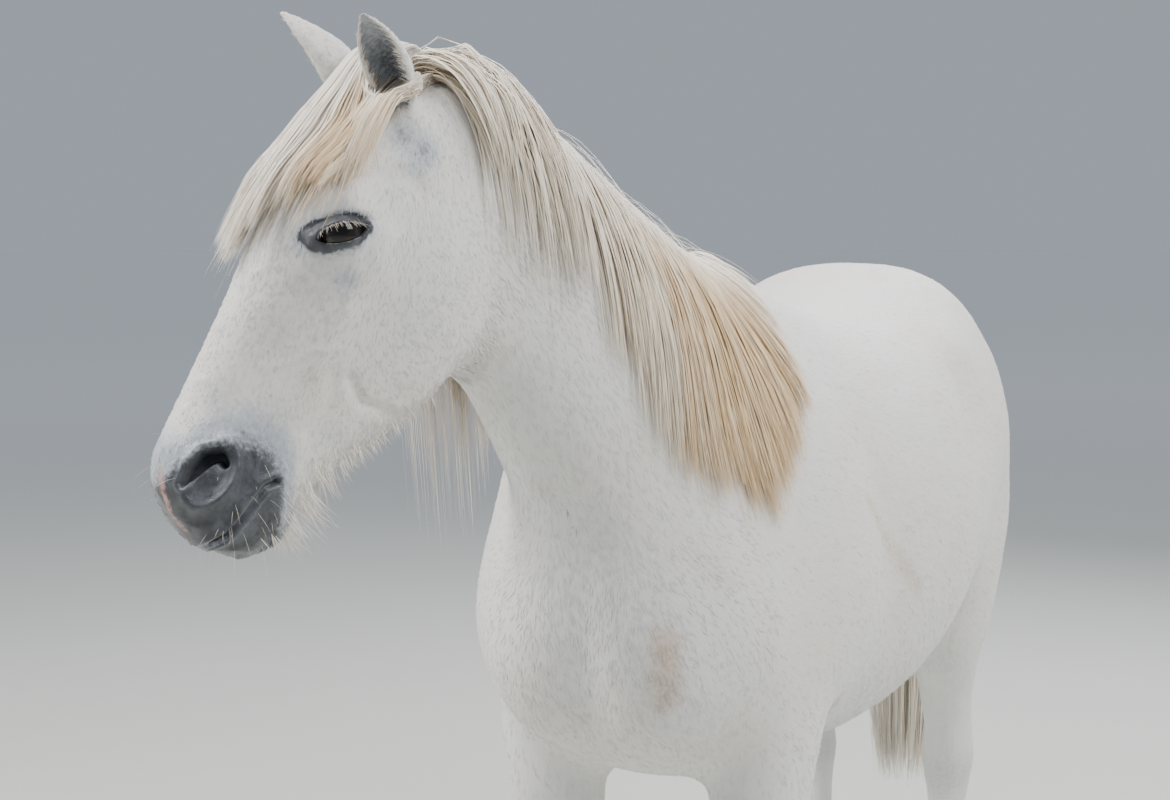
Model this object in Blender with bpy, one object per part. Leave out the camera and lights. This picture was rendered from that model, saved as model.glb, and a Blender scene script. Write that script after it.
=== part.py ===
"""A standing grey horse, life size, with its neck raised and its head turned to its right.

Metres, +Z up. The horse faces -Y, its left side is +X, and it stands on the floor at z = 0.
"Forward" below is -Y. The flesh is modelled whole from tubes and muscle shapes, fused and
smoothed, and then parted into named pieces with thin cuts.
"""

import math

import bmesh
import bpy
import numpy as np
from mathutils import Matrix, Vector

# Pose of the neck and head: the poll's place, and turns in degrees
POLL = Vector((-0.097, -0.899, 1.668))
HEAD_YAW = 34.0  # head turned to the horse's right
NECK_YAW = 26.0  # of which the neck gives this much
HEAD_PITCH = 66.0  # line from poll to lips, below the horizontal

# Middle of the finished horse seen from above, which becomes the origin
MIDDLE = Vector((0.0, -0.1334, 0.0))

# Fusing of the flesh, and passes of smoothing before and after the muscles are raised
FUSE_VOXEL = 0.012
SMOOTHING, LAST_SMOOTHING = 70, 8
FLESH_TRIANGLES = 3300

# Cuts between the pieces
GAP = 0.0004
CLEARANCE = 0.0008

# Colours: base colour, roughness
COAT = ((0.72, 0.70, 0.67), 0.75)
MUZZLE = ((0.075, 0.078, 0.085), 0.55)
HAIR = ((0.78, 0.70, 0.56), 0.60)
EAR = ((0.66, 0.63, 0.59), 0.75)
HOOF = ((0.16, 0.14, 0.12), 0.45)
EYEBALL = ((0.012, 0.010, 0.009), 0.08)


# ---------------------------------------------------------------- tubes and muscles


def spline(rows, steps):
    """A smooth curve through the rows, with this many steps between two of them."""
    rows = np.array(rows, float)
    ends = np.vstack([2 * rows[0] - rows[1], rows, 2 * rows[-1] - rows[-2]])
    out = []
    for i in range(1, len(ends) - 2):
        before, here, there, after = ends[i - 1 : i + 3]
        for k in range(steps):
            t = k / steps
            out.append(
                here
                + 0.5 * t * (there - before)
                + t * t * (before - 2.5 * here + 2 * there - 0.5 * after)
                + t**3 * (1.5 * (here - there) + 0.5 * (after - before))
            )
    out.append(ends[-2])
    return np.array(out)


def power_circle(angle, power):
    """A point of the unit circle, squarer for a power over 2 and more pointed under it."""
    c, s = math.cos(angle), math.sin(angle)
    grow = 2 / power
    return math.copysign(abs(c) ** grow, c), math.copysign(abs(s) ** grow, s)


def tube(rows, place, steps=4, sides=28):
    """A closed tube. A row ends in half width, height above and below, fullness above and below.

    place(row) gives the section's centre, its side axis and its up axis.
    """
    mesh = bmesh.new()
    rings = []
    for row in spline(rows, steps):
        centre, side, up = place(row)
        wide, above, below, full_above, full_below = row[-5:]
        ring = []
        for k in range(sides):
            angle = 2 * math.pi * k / sides
            top = math.sin(angle) >= 0
            x, y = power_circle(angle, full_above if top else full_below)
            ring.append(mesh.verts.new(centre + side * (x * wide) + up * (y * (above if top else below))))
        rings.append(ring)
    for low, high in zip(rings, rings[1:]):
        for k in range(sides):
            mesh.faces.new((low[k], low[k - 1], high[k - 1], high[k]))
    mesh.faces.new(rings[0])
    mesh.faces.new(list(reversed(rings[-1])))
    bmesh.ops.recalc_face_normals(mesh, faces=mesh.faces)
    return mesh


def swell(points, normals, bumps):
    """Moves the points along their normals by soft bumps, each given for the left side and mirrored.

    A bump is a centre, three radii, a turn in degrees about X, Y and Z, and a height.
    """
    moved = np.zeros(len(points))
    for centre, radii, turn, height in bumps:
        angles = [math.radians(a) for a in turn]
        axes = Matrix.Rotation(angles[2], 3, "Z") @ Matrix.Rotation(angles[1], 3, "Y")
        axes = np.array(axes @ Matrix.Rotation(angles[0], 3, "X"))
        for side in (1, -1):
            near = (points * (side, 1, 1) - centre) @ axes / radii
            moved += height * np.exp(-(near**2).sum(axis=1))
    return points + normals * moved[:, None]


def add_object(name, shapes):
    """One object of these bmesh shapes."""
    data = bpy.data.meshes.new(name)
    whole = bmesh.new()
    for shape in shapes:
        piece = bpy.data.meshes.new("piece")
        shape.to_mesh(piece)
        shape.free()
        whole.from_mesh(piece)
        bpy.data.meshes.remove(piece)
    whole.to_mesh(data)
    whole.free()
    obj = bpy.data.objects.new(name, data)
    bpy.context.scene.collection.objects.link(obj)
    return obj


# ---------------------------------------------------------------- trunk
# Columns: forward, height of the widest level, then half width, above, below, fullness

TRUNK = (
    (0.690, 1.020, 0.060, 0.060, 0.070, 2.0, 2.0),
    (0.655, 1.030, 0.120, 0.130, 0.140, 2.1, 2.1),
    (0.590, 1.040, 0.184, 0.210, 0.205, 2.1, 2.3),
    (0.490, 1.050, 0.224, 0.320, 0.265, 2.0, 2.4),
    (0.370, 1.070, 0.240, 0.400, 0.315, 1.75, 2.4),
    (0.220, 1.070, 0.262, 0.375, 0.325, 1.75, 2.3),
    (0.060, 1.055, 0.292, 0.345, 0.330, 1.95, 2.2),
    (-0.100, 1.055, 0.306, 0.345, 0.325, 2.1, 2.15),
    (-0.240, 1.075, 0.300, 0.340, 0.305, 2.2, 2.1),
    (-0.370, 1.120, 0.280, 0.325, 0.260, 2.3, 2.1),
    (-0.490, 1.150, 0.262, 0.298, 0.225, 2.2, 2.1),
    (-0.610, 1.165, 0.228, 0.235, 0.190, 2.1, 2.1),
    (-0.700, 1.165, 0.170, 0.160, 0.140, 2.1, 2.1),
    (-0.755, 1.165, 0.090, 0.080, 0.080, 2.0, 2.0),
)


def trunk_place(row):
    return Vector((0, -row[0], row[1])), Vector((1, 0, 0)), Vector((0, 0, 1))


# Muscles and hollows of the trunk and legs: centre, radii, turn, height
BODY_BUMPS = (
    # shoulder blade, triceps, point of the shoulder
    ((0.190, -0.400, 1.230), (0.070, 0.100, 0.190), (22, 0, 0), 0.014),
    ((0.230, -0.350, 1.000), (0.090, 0.110, 0.130), (-20, 0, 0), 0.024),
    ((0.180, -0.570, 0.990), (0.080, 0.080, 0.090), (20, 0, 0), 0.016),
    # breast muscle, with the groove between the two
    ((0.095, -0.640, 0.930), (0.070, 0.080, 0.110), (0, 0, 0), 0.026),
    ((0.000, -0.680, 0.960), (0.024, 0.080, 0.150), (0, 0, 0), -0.014),
    # hollow behind the shoulder
    ((0.270, -0.220, 1.080), (0.070, 0.050, 0.160), (10, 0, 0), -0.012),
    # point of the hip, rump, thigh, stifle, flank hollow, buttock and the cleft between
    ((0.230, 0.260, 1.320), (0.060, 0.060, 0.055), (0, 0, 0), 0.010),
    ((0.140, 0.430, 1.400), (0.090, 0.170, 0.080), (0, 0, 0), 0.008),
    ((0.250, 0.500, 1.080), (0.110, 0.150, 0.180), (0, 0, 0), 0.016),
    ((0.210, 0.370, 0.930), (0.070, 0.070, 0.090), (30, 0, 0), 0.020),
    ((0.270, 0.200, 1.200), (0.070, 0.060, 0.120), (-20, 0, 0), -0.014),
    ((0.130, 0.700, 1.100), (0.080, 0.080, 0.130), (0, 0, 0), 0.016),
    ((0.000, 0.740, 1.080), (0.030, 0.100, 0.180), (0, 0, 0), -0.022),
    # forearm muscle, bone behind the knee, gaskin
    ((0.175, -0.470, 0.760), (0.050, 0.060, 0.100), (4, 0, 0), 0.012),
    ((0.130, -0.395, 0.455), (0.030, 0.020, 0.025), (0, 0, 0), 0.008),
    ((0.185, 0.500, 0.800), (0.060, 0.070, 0.110), (-22, 0, 0), 0.014),
)


# ---------------------------------------------------------------- legs
# Level sections. Columns: height, forward, outward, then half width, fore, aft, fullness

FORELEG = (
    (1.080, 0.430, 0.150, 0.065, 0.130, 0.110, 2.2, 2.2),
    (0.960, 0.425, 0.154, 0.074, 0.118, 0.118, 2.2, 2.2),
    (0.870, 0.430, 0.152, 0.073, 0.094, 0.104, 2.2, 2.1),
    (0.780, 0.435, 0.147, 0.066, 0.080, 0.082, 2.1, 2.1),
    (0.680, 0.440, 0.142, 0.057, 0.066, 0.065, 2.1, 2.1),
    (0.580, 0.442, 0.137, 0.046, 0.052, 0.050, 2.1, 2.1),
    (0.510, 0.443, 0.135, 0.043, 0.047, 0.046, 2.2, 2.2),
    (0.455, 0.444, 0.134, 0.050, 0.054, 0.050, 2.5, 2.4),
    (0.410, 0.440, 0.133, 0.046, 0.047, 0.050, 2.5, 2.3),
    (0.360, 0.436, 0.132, 0.033, 0.036, 0.041, 2.2, 2.2),
    (0.280, 0.434, 0.131, 0.030, 0.033, 0.039, 2.2, 2.2),
    (0.220, 0.434, 0.131, 0.032, 0.035, 0.043, 2.2, 2.2),
    (0.175, 0.438, 0.130, 0.040, 0.042, 0.053, 2.2, 2.2),
    (0.140, 0.450, 0.130, 0.038, 0.040, 0.050, 2.2, 2.2),
    (0.105, 0.468, 0.130, 0.038, 0.040, 0.045, 2.2, 2.2),
    (0.078, 0.480, 0.130, 0.050, 0.050, 0.052, 2.3, 2.3),
    (0.055, 0.490, 0.130, 0.052, 0.052, 0.054, 2.3, 2.3),
)
HINDLEG = (
    (1.150, -0.520, 0.150, 0.085, 0.190, 0.190, 2.2, 2.2),
    (1.020, -0.515, 0.162, 0.092, 0.180, 0.195, 2.2, 2.2),
    (0.920, -0.505, 0.165, 0.086, 0.150, 0.170, 2.2, 2.2),
    (0.830, -0.515, 0.160, 0.072, 0.110, 0.130, 2.2, 2.2),
    (0.740, -0.545, 0.153, 0.059, 0.082, 0.096, 2.1, 2.1),
    (0.660, -0.590, 0.146, 0.048, 0.065, 0.084, 2.1, 2.0),
    (0.600, -0.625, 0.142, 0.044, 0.058, 0.092, 2.2, 1.8),
    (0.550, -0.648, 0.140, 0.047, 0.060, 0.082, 2.3, 1.8),
    (0.500, -0.660, 0.138, 0.046, 0.055, 0.064, 2.3, 2.1),
    (0.440, -0.664, 0.136, 0.037, 0.044, 0.049, 2.2, 2.2),
    (0.340, -0.664, 0.134, 0.031, 0.036, 0.043, 2.2, 2.2),
    (0.240, -0.664, 0.133, 0.033, 0.038, 0.045, 2.2, 2.2),
    (0.190, -0.660, 0.132, 0.041, 0.044, 0.055, 2.2, 2.2),
    (0.150, -0.648, 0.132, 0.039, 0.042, 0.052, 2.2, 2.2),
    (0.110, -0.628, 0.131, 0.038, 0.040, 0.047, 2.2, 2.2),
    (0.080, -0.616, 0.130, 0.049, 0.050, 0.052, 2.3, 2.3),
    (0.055, -0.606, 0.130, 0.051, 0.052, 0.054, 2.3, 2.3),
)
# How far each foot stands ahead of the square stance, on the horse's left and right
FORE_STEP = {1: 0.015, -1: -0.030}
HIND_STEP = {1: 0.045, -1: -0.045}
HOOF_TOP = 0.078
STEP_FROM = 0.95  # the height from which a leg swings forward or back


def stepped(step, height):
    """How far ahead a step moves the leg at this height."""
    return step * (1 - min(height, STEP_FROM) / STEP_FROM)


def leg_shape(rows, side, step):
    def place(row):
        ahead = row[1] + stepped(step, row[0])
        return Vector((side * row[2], -ahead, row[0])), Vector((side, 0, 0)), Vector((0, -1, 0))

    return tube(rows, place)


def leg_shapes():
    fore = [leg_shape(FORELEG, side, step) for side, step in FORE_STEP.items()]
    return fore + [leg_shape(HINDLEG, side, step) for side, step in HIND_STEP.items()]


# ---------------------------------------------------------------- neck
# Columns: share of the way to the poll, height, then half width, above, below, fullness

NECK_BASE = Vector((0, -0.300, 1.190))
NECK = (
    (0.00, 1.180, 0.160, 0.220, 0.300, 1.7, 2.1),
    (0.18, 1.225, 0.160, 0.208, 0.290, 1.7, 2.2),
    (0.38, 1.295, 0.142, 0.192, 0.255, 1.7, 2.2),
    (0.56, 1.370, 0.120, 0.170, 0.214, 1.7, 2.2),
    (0.72, 1.450, 0.102, 0.142, 0.184, 1.7, 2.2),
    (0.85, 1.525, 0.090, 0.120, 0.166, 1.8, 2.2),
    (0.95, 1.595, 0.082, 0.085, 0.152, 1.9, 2.2),
    (1.00, 1.630, 0.070, 0.055, 0.130, 2.0, 2.2),
)


def turned_forward(yaw):
    """The level direction that points forward after a turn of yaw degrees to the right."""
    angle = math.radians(yaw)
    return Vector((-math.sin(angle), -math.cos(angle), 0))


def neck_place(row):
    """A neck section: its centre bends sideways to the poll, and its plane turns with it."""
    share, height, rise = row[:3]
    end = POLL - NECK_BASE
    sideways = max(0.0, share - 0.25) / 0.75
    centre = Vector((end.x * sideways**2, NECK_BASE.y + (end.y + 0.045) * share, height))
    ahead = turned_forward(NECK_YAW * sideways)
    side = Vector((0, 0, 1)).cross(ahead)
    up = -ahead * math.sin(rise) + Vector((0, 0, 1)) * math.cos(rise)
    return centre, side, up


def neck_rows():
    """The neck's table with the centre line's rise at each row, in radians."""
    length = abs((POLL - NECK_BASE).y)
    rows = []
    for i, row in enumerate(NECK):
        before, after = NECK[max(i - 1, 0)], NECK[min(i + 1, len(NECK) - 1)]
        rise = math.atan2(after[1] - before[1], (after[0] - before[0]) * length)
        rows.append((*row[:2], rise, *row[2:]))
    return rows


def neck_shape():
    return tube(neck_rows(), neck_place)


# ---------------------------------------------------------------- head
# Measured to the horse's left, from the poll down to the lips, and out of the face.
# Columns: distance from the poll, widest level, then half width, above, below, fullness

SKULL = (
    (-0.045, -0.075, 0.020, 0.020, 0.020, 2.0, 2.0),
    (-0.030, -0.065, 0.044, 0.044, 0.040, 2.0, 2.0),
    (0.000, -0.045, 0.058, 0.050, 0.070, 2.1, 2.0),
    (0.050, -0.012, 0.070, 0.060, 0.118, 2.2, 2.0),
    (0.100, 0.008, 0.078, 0.067, 0.156, 2.3, 2.2),
    (0.150, 0.018, 0.084, 0.073, 0.178, 2.4, 2.3),
    (0.200, 0.014, 0.082, 0.084, 0.192, 2.3, 2.4),
    (0.250, 0.006, 0.075, 0.096, 0.196, 2.1, 2.5),
    (0.300, 0.000, 0.066, 0.105, 0.184, 2.0, 2.4),
    (0.350, 0.006, 0.057, 0.102, 0.158, 2.0, 2.2),
    (0.400, 0.016, 0.050, 0.095, 0.127, 2.1, 2.2),
    (0.440, 0.024, 0.050, 0.089, 0.100, 2.3, 2.2),
    (0.480, 0.030, 0.054, 0.084, 0.082, 2.5, 2.3),
    (0.515, 0.028, 0.052, 0.074, 0.071, 2.5, 2.3),
    (0.540, 0.020, 0.044, 0.058, 0.062, 2.3, 2.2),
    (0.558, 0.014, 0.026, 0.034, 0.036, 2.0, 2.0),
)
HEAD_BUMPS = (
    # brow, rim behind the eye, cheek bone, cheek muscle
    ((0.088, 0.180, 0.056), (0.045, 0.056, 0.034), (0, 0, 0), 0.018),
    ((0.084, 0.216, 0.006), (0.030, 0.048, 0.030), (0, 0, 0), 0.006),
    ((0.070, 0.275, 0.002), (0.030, 0.085, 0.014), (-4, 0, 0), 0.006),
    ((0.080, 0.205, -0.075), (0.050, 0.080, 0.065), (0, 0, 0), 0.007),
    # hollows over the eye and beside the nose
    ((0.060, 0.120, 0.060), (0.026, 0.030, 0.026), (0, 0, 0), -0.006),
    ((0.060, 0.330, 0.050), (0.030, 0.070, 0.026), (0, 0, 0), -0.005),
    # nostril wing, chin, channel between the jaws, throat
    ((0.045, 0.492, 0.056), (0.026, 0.034, 0.032), (0, 0, 0), 0.009),
    ((0.014, 0.510, -0.050), (0.030, 0.034, 0.026), (0, 0, 0), 0.009),
    ((0.000, 0.280, -0.150), (0.022, 0.120, 0.050), (0, 0, 0), -0.012),
)
EYE = Vector((0.0755, 0.205, 0.040))
EYE_RADIUS = 0.0225


def head_axes():
    """The directions to the head's left, down the nose, and out of the face."""
    ahead = turned_forward(HEAD_YAW)
    pitch = math.radians(HEAD_PITCH)
    left = Vector((0, 0, 1)).cross(ahead)
    down_nose = ahead * math.cos(pitch) - Vector((0, 0, 1)) * math.sin(pitch)
    return left, down_nose, down_nose.cross(left)


def on_head(place):
    """A point given in the head's own measures."""
    left, down_nose, out = head_axes()
    return POLL + left * place[0] + down_nose * place[1] + out * place[2]


def head_place(row):
    left, down_nose, out = head_axes()
    return on_head((0, row[0], row[1])), left, out


# ---------------------------------------------------------------- fused flesh


def settled(obj):
    """Replaces the object's mesh with what its modifiers make of it."""
    graph = bpy.context.evaluated_depsgraph_get()
    data = bpy.data.meshes.new_from_object(obj.evaluated_get(graph))
    obj.modifiers.clear()
    obj.data = data


def fused(name, shapes, voxel):
    """One object whose skin wraps all the shapes."""
    obj = add_object(name, shapes)
    fuse = obj.modifiers.new("fuse", "REMESH")
    fuse.mode = "VOXEL"
    fuse.voxel_size = voxel
    settled(obj)
    return obj


def thin_out(obj, triangles):
    decimate = obj.modifiers.new("thin out", "DECIMATE")
    decimate.ratio = triangles / (2 * len(obj.data.polygons))
    decimate.use_collapse_triangulate = True
    settled(obj)


def blend(value, low, high):
    """0 below low, 1 above high, and a soft step between."""
    t = np.clip((value - low) / (high - low), 0, 1)
    return t * t * (3 - 2 * t)


def softness(points):
    """How strongly the fused flesh is smoothed: 1 on the trunk, little on head and legs."""
    local = (points - np.array(POLL)) @ np.array(head_axes()).T
    head = blend(local[:, 1], 0.00, 0.12) * blend(local[:, 2], -0.20, -0.14)
    leg = blend(-points[:, 2], -0.96, -0.80)
    return np.maximum(0.03, (1 - 0.96 * head) * (1 - 0.98 * leg))


def mesh_points(data):
    points = np.empty(len(data.vertices) * 3)
    data.vertices.foreach_get("co", points)
    return points.reshape(-1, 3)


def mesh_normals(data):
    normals = np.empty(len(data.vertices) * 3)
    data.vertex_normals.foreach_get("vector", normals)
    return normals.reshape(-1, 3)


def relaxed(data, points, weights, passes):
    """The points drawn toward their neighbours' mean, by half their weight in each pass."""
    ends = np.empty(len(data.edges) * 2, int)
    data.edges.foreach_get("vertices", ends)
    first, second = ends.reshape(-1, 2).T
    count = np.bincount(ends, minlength=len(points))[:, None]
    for _ in range(passes):
        total = np.zeros_like(points)
        for axis in range(3):
            total[:, axis] += np.bincount(first, points[second, axis], len(points))
            total[:, axis] += np.bincount(second, points[first, axis], len(points))
        points = points + 0.5 * weights[:, None] * (total / count - points)
    return points


def flesh():
    tubes = [tube(TRUNK, trunk_place), *leg_shapes(), neck_shape(), tube(SKULL, head_place)]
    obj = fused("flesh", tubes, FUSE_VOXEL)
    data = obj.data
    points = mesh_points(data)
    points = relaxed(data, points, softness(points), SMOOTHING)
    data.vertices.foreach_set("co", points.ravel())
    data.update()
    points = swell(points, mesh_normals(data), BODY_BUMPS)
    axes = np.array(head_axes())
    local = (points - np.array(POLL)) @ axes.T
    local = swell(local, mesh_normals(data) @ axes.T, HEAD_BUMPS)
    points = local @ axes + np.array(POLL)
    points = relaxed(data, points, softness(points), LAST_SMOOTHING)
    data.vertices.foreach_set("co", points.ravel())
    data.update()
    thin_out(obj, FLESH_TRIANGLES)
    return obj


# ---------------------------------------------------------------- cuts


def inflated(obj, name, by):
    """A copy of the object, larger by this much along its normals."""
    data = obj.data.copy()
    points = mesh_points(data) + mesh_normals(data) * by
    data.vertices.foreach_set("co", points.ravel())
    data.update()
    copy = bpy.data.objects.new(name, data)
    bpy.context.scene.collection.objects.link(copy)
    return copy


def helper(obj):
    obj.hide_render = True
    obj.display_type = "WIRE"
    return obj


def cut(obj, other, operation):
    """Applies an exact Boolean with another object, which becomes a hidden helper."""
    helper(other)
    boolean = obj.modifiers.new("cut", "BOOLEAN")
    boolean.solver = "EXACT"
    boolean.operation = operation
    boolean.object = other
    settled(obj)


def keep_largest(obj):
    """Removes all but the largest connected body of the mesh."""
    mesh = bmesh.new()
    mesh.from_mesh(obj.data)
    left = set(mesh.faces)
    bodies = []
    while left:
        body, front = set(), [left.pop()]
        while front:
            face = front.pop()
            body.add(face)
            for edge in face.edges:
                # an edge of four faces is where two bodies only touch
                if len(edge.link_faces) == 2:
                    for other in edge.link_faces:
                        if other in left:
                            left.discard(other)
                            front.append(other)
        bodies.append(body)
    bodies.sort(key=lambda body: sum(face.calc_area() for face in body))
    doomed = [face for body in bodies[:-1] for face in body]
    bmesh.ops.delete(mesh, geom=doomed, context="FACES")
    mesh.to_mesh(obj.data)
    mesh.free()


def block(name, low, high, turn=0.0, grow=0.0):
    """A box between two corners, turned about X at its middle by some degrees, larger by grow."""
    mesh = bmesh.new()
    bmesh.ops.create_cube(mesh, size=1)
    low, high = Vector(low), Vector(high)
    size = high - low + Vector((2 * grow, 2 * grow, 2 * grow))
    place = Matrix.Translation((low + high) / 2) @ Matrix.Rotation(math.radians(turn), 4, "X")
    mesh.transform(place @ Matrix.Diagonal((*size, 1)))
    return add_object(name, [mesh])


# Sides of the boxes that stand for all that lies on one side of a cut
HEAD_BOX, MUZZLE_BOX, NECK_BOX, FLOOR_BOX = 0.9, 0.3, 1.6, 2.4


def half_space(name, point, normal, size, grow=0.0):
    """A box on the side of a plane that its normal points to, moved back by grow."""
    mesh = bmesh.new()
    bmesh.ops.create_cube(mesh, size=size)
    normal = Vector(normal).normalized()
    turn = normal.to_track_quat("Z", "Y").to_matrix().to_4x4()
    mesh.transform(Matrix.Translation(point + normal * (size / 2 - grow)) @ turn)
    return add_object(name, [mesh])


def head_side(name, grow=0.0):
    """All that lies on the head's side of the cut behind ears and jaw."""
    left, down_nose, out = head_axes()
    top, bottom = on_head((0, -0.055, -0.060)), on_head((0, 0.265, -0.205))
    normal = left.cross(bottom - top)
    if normal.dot(out) < 0:
        normal = -normal
    return half_space(name, (top + bottom) / 2, normal, HEAD_BOX, grow)


def muzzle_side(name, grow=0.0):
    left, down_nose, out = head_axes()
    return half_space(name, on_head((0, 0.450, 0.03)), down_nose + out * 0.12, MUZZLE_BOX, grow)


def neck_side(name, grow=0.0):
    """All that lies ahead of the shoulder blades."""
    top, bottom = Vector((0, -0.400, 1.460)), Vector((0, -0.690, 1.060))
    normal = Vector((-1, 0, 0)).cross(bottom - top)
    if normal.y > 0:
        normal = -normal
    return half_space(name, (top + bottom) / 2, normal, NECK_BOX, grow)


def foreleg_side(name, side, grow=0.0):
    low, high = (0.048, -0.900, -0.300), (0.700, -0.290, 0.900)
    return leg_block(name, low, high, side, 9.0, grow)


def hindleg_side(name, side, grow=0.0):
    low, high = (GAP, 0.280, -0.300), (0.700, 0.980, 0.960)
    return leg_block(name, low, high, side, 6.0, grow)


def leg_block(name, low, high, side, turn, grow):
    """The block around a leg, given for the left one."""
    if side < 0:
        low, high = (-high[0], low[1], low[2]), (-low[0], high[1], high[2])
    return block(name, low, high, turn, grow)


def part_flesh(whole):
    """Parts the fused flesh into its named pieces."""
    pieces = {}
    foot = Vector((0, 0, HOOF_TOP + GAP))
    pieces["muzzle"] = inflated(whole, "muzzle", 0)
    cut(pieces["muzzle"], muzzle_side("muzzle side"), "INTERSECT")
    pieces["head"] = inflated(whole, "head", 0)
    cut(pieces["head"], head_side("head side"), "INTERSECT")
    cut(pieces["head"], muzzle_side("muzzle side larger", GAP), "DIFFERENCE")
    pieces["neck"] = inflated(whole, "neck", 0)
    cut(pieces["neck"], neck_side("neck side"), "INTERSECT")
    cut(pieces["neck"], head_side("head side larger", GAP), "DIFFERENCE")
    pieces["trunk"] = inflated(whole, "trunk", 0)
    cut(pieces["trunk"], neck_side("neck side larger", GAP), "DIFFERENCE")
    for name, region in (("foreleg", foreleg_side), ("hindleg", hindleg_side)):
        for end, side in (("left", 1), ("right", -1)):
            leg = f"{name}_{end}"
            pieces[leg] = inflated(whole, leg, 0)
            cut(pieces[leg], region(leg + " side", side), "INTERSECT")
            cut(pieces[leg], half_space(leg + " foot", foot, (0, 0, -1), FLOOR_BOX), "DIFFERENCE")
            cut(pieces["trunk"], region(leg + " side larger", side, GAP), "DIFFERENCE")
    for piece in pieces.values():
        keep_largest(piece)
    return pieces


# ---------------------------------------------------------------- hooves
# Columns: height, forward of the foot's middle, half width, toe, heel, fullness

HOOF_ROWS = (
    (0.000, 0.018, 0.066, 0.074, 0.066, 2.4, 2.8),
    (0.010, 0.017, 0.066, 0.073, 0.066, 2.4, 2.8),
    (0.040, 0.008, 0.061, 0.064, 0.062, 2.4, 2.6),
    (0.070, 0.000, 0.056, 0.056, 0.059, 2.4, 2.5),
    (HOOF_TOP, -0.003, 0.052, 0.052, 0.055, 2.4, 2.4),
)
# How far out and ahead the feet stand before the steps
FOOT_OUT, FORE_AHEAD, HIND_AHEAD = 0.130, 0.482, -0.614


def hoof(name, side, ahead):
    def place(row):
        return Vector((side * FOOT_OUT, -(ahead + row[1]), row[0])), Vector((1, 0, 0)), Vector((0, -1, 0))

    return add_object(name, [tube(HOOF_ROWS, place, steps=1, sides=22)])


def hooves():
    pieces = {}
    for end, side in (("left", 1), ("right", -1)):
        fore = FORE_AHEAD + stepped(FORE_STEP[side], HOOF_TOP)
        hind = HIND_AHEAD + stepped(HIND_STEP[side], HOOF_TOP)
        pieces[f"hoof_fore_{end}"] = hoof(f"hoof_fore_{end}", side, fore)
        pieces[f"hoof_hind_{end}"] = hoof(f"hoof_hind_{end}", side, hind)
    return pieces


# ---------------------------------------------------------------- ears
# Columns: share of the length, half width, depth, wall, half opening in degrees

EAR_ROWS = (
    (0.00, 0.019, 0.019, 0.0090, 8),
    (0.14, 0.021, 0.021, 0.0070, 20),
    (0.30, 0.025, 0.024, 0.0055, 40),
    (0.46, 0.0265, 0.025, 0.0050, 58),
    (0.62, 0.0245, 0.021, 0.0045, 70),
    (0.78, 0.0185, 0.014, 0.0040, 80),
    (0.90, 0.0110, 0.008, 0.0030, 85),
    (1.00, 0.0030, 0.002, 0.0010, 88),
)
EAR_ROOT = (0.046, 0.062, 0.004)
EAR_TIP = {1: (0.092, -0.006, 0.112), -1: (0.080, -0.014, 0.138)}
EAR_OPENING = (0.75, 0.45, 0.35)  # the way the left ear's hollow faces, in the head's measures
EAR_BEND = 0.012
EAR_ARC = 9  # corners around each face of the gristle
EAR_RIM = 0.06  # how much further the outer face reaches round, in radians


def ear_axes(side):
    """The ear's root and tip, and the directions across it and out of its hollow."""
    root = on_head((side * EAR_ROOT[0], *EAR_ROOT[1:]))
    tip = on_head((side * EAR_TIP[side][0], *EAR_TIP[side][1:]))
    opening = on_head((side * EAR_OPENING[0], *EAR_OPENING[1:])) - POLL
    along = (tip - root).normalized()
    opening = (opening - along * opening.dot(along)).normalized()
    return root, tip, along.cross(opening), opening


def ear(name, side):
    root, tip, across, opening = ear_axes(side)
    mesh = bmesh.new()
    rings = []
    for share, wide, deep, wall, open_half in EAR_ROWS:
        middle = root + (tip - root) * share - opening * (EAR_BEND * math.sin(math.pi * share))
        span = math.radians(180 - open_half)
        inner = max(0.1, 1 - wall / wide)
        ring = []
        for k in range(EAR_ARC):
            angle = span * (2 * k / (EAR_ARC - 1) - 1)
            offset = across * (math.sin(angle) * wide) - opening * (math.cos(angle) * deep)
            ring.append(mesh.verts.new(middle + offset))
        for k in reversed(range(EAR_ARC)):
            angle = (span - EAR_RIM) * (2 * k / (EAR_ARC - 1) - 1)
            offset = across * (math.sin(angle) * wide * inner) - opening * (math.cos(angle) * deep * inner)
            ring.append(mesh.verts.new(middle + offset))
        rings.append(ring)
    for low, high in zip(rings, rings[1:]):
        for k in range(2 * EAR_ARC):
            mesh.faces.new((low[k], low[k - 1], high[k - 1], high[k]))
    mesh.faces.new(rings[0])
    mesh.faces.new(list(reversed(rings[-1])))
    bmesh.ops.recalc_face_normals(mesh, faces=mesh.faces)
    return add_object(name, [mesh])


def ear_seat(name, side):
    """The pit in the head that the ear's root stands in."""
    root, tip, across, opening = ear_axes(side)

    def place(row):
        middle = root + (tip - root) * row[0] - opening * (EAR_BEND * math.sin(math.pi * row[0]))
        return middle, across, opening

    rows = [(row[0], row[1] + 2 * GAP, row[2] + 2 * GAP, row[2] + 2 * GAP, 2.0, 2.0) for row in EAR_ROWS[:6]]
    rows[0] = (-0.006, *rows[0][1:])
    return add_object(name, [tube(rows, place, steps=2, sides=24)])


# ---------------------------------------------------------------- eyes


def eye(name, side, radius):
    mesh = bmesh.new()
    bmesh.ops.create_icosphere(mesh, subdivisions=2, radius=radius)
    mesh.transform(Matrix.Translation(on_head((side * EYE[0], EYE[1], EYE[2]))))
    return add_object(name, [mesh])


# ---------------------------------------------------------------- hair
# Locks are flat tapered tubes along a path, fused to one solid and cleared from the flesh.


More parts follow.
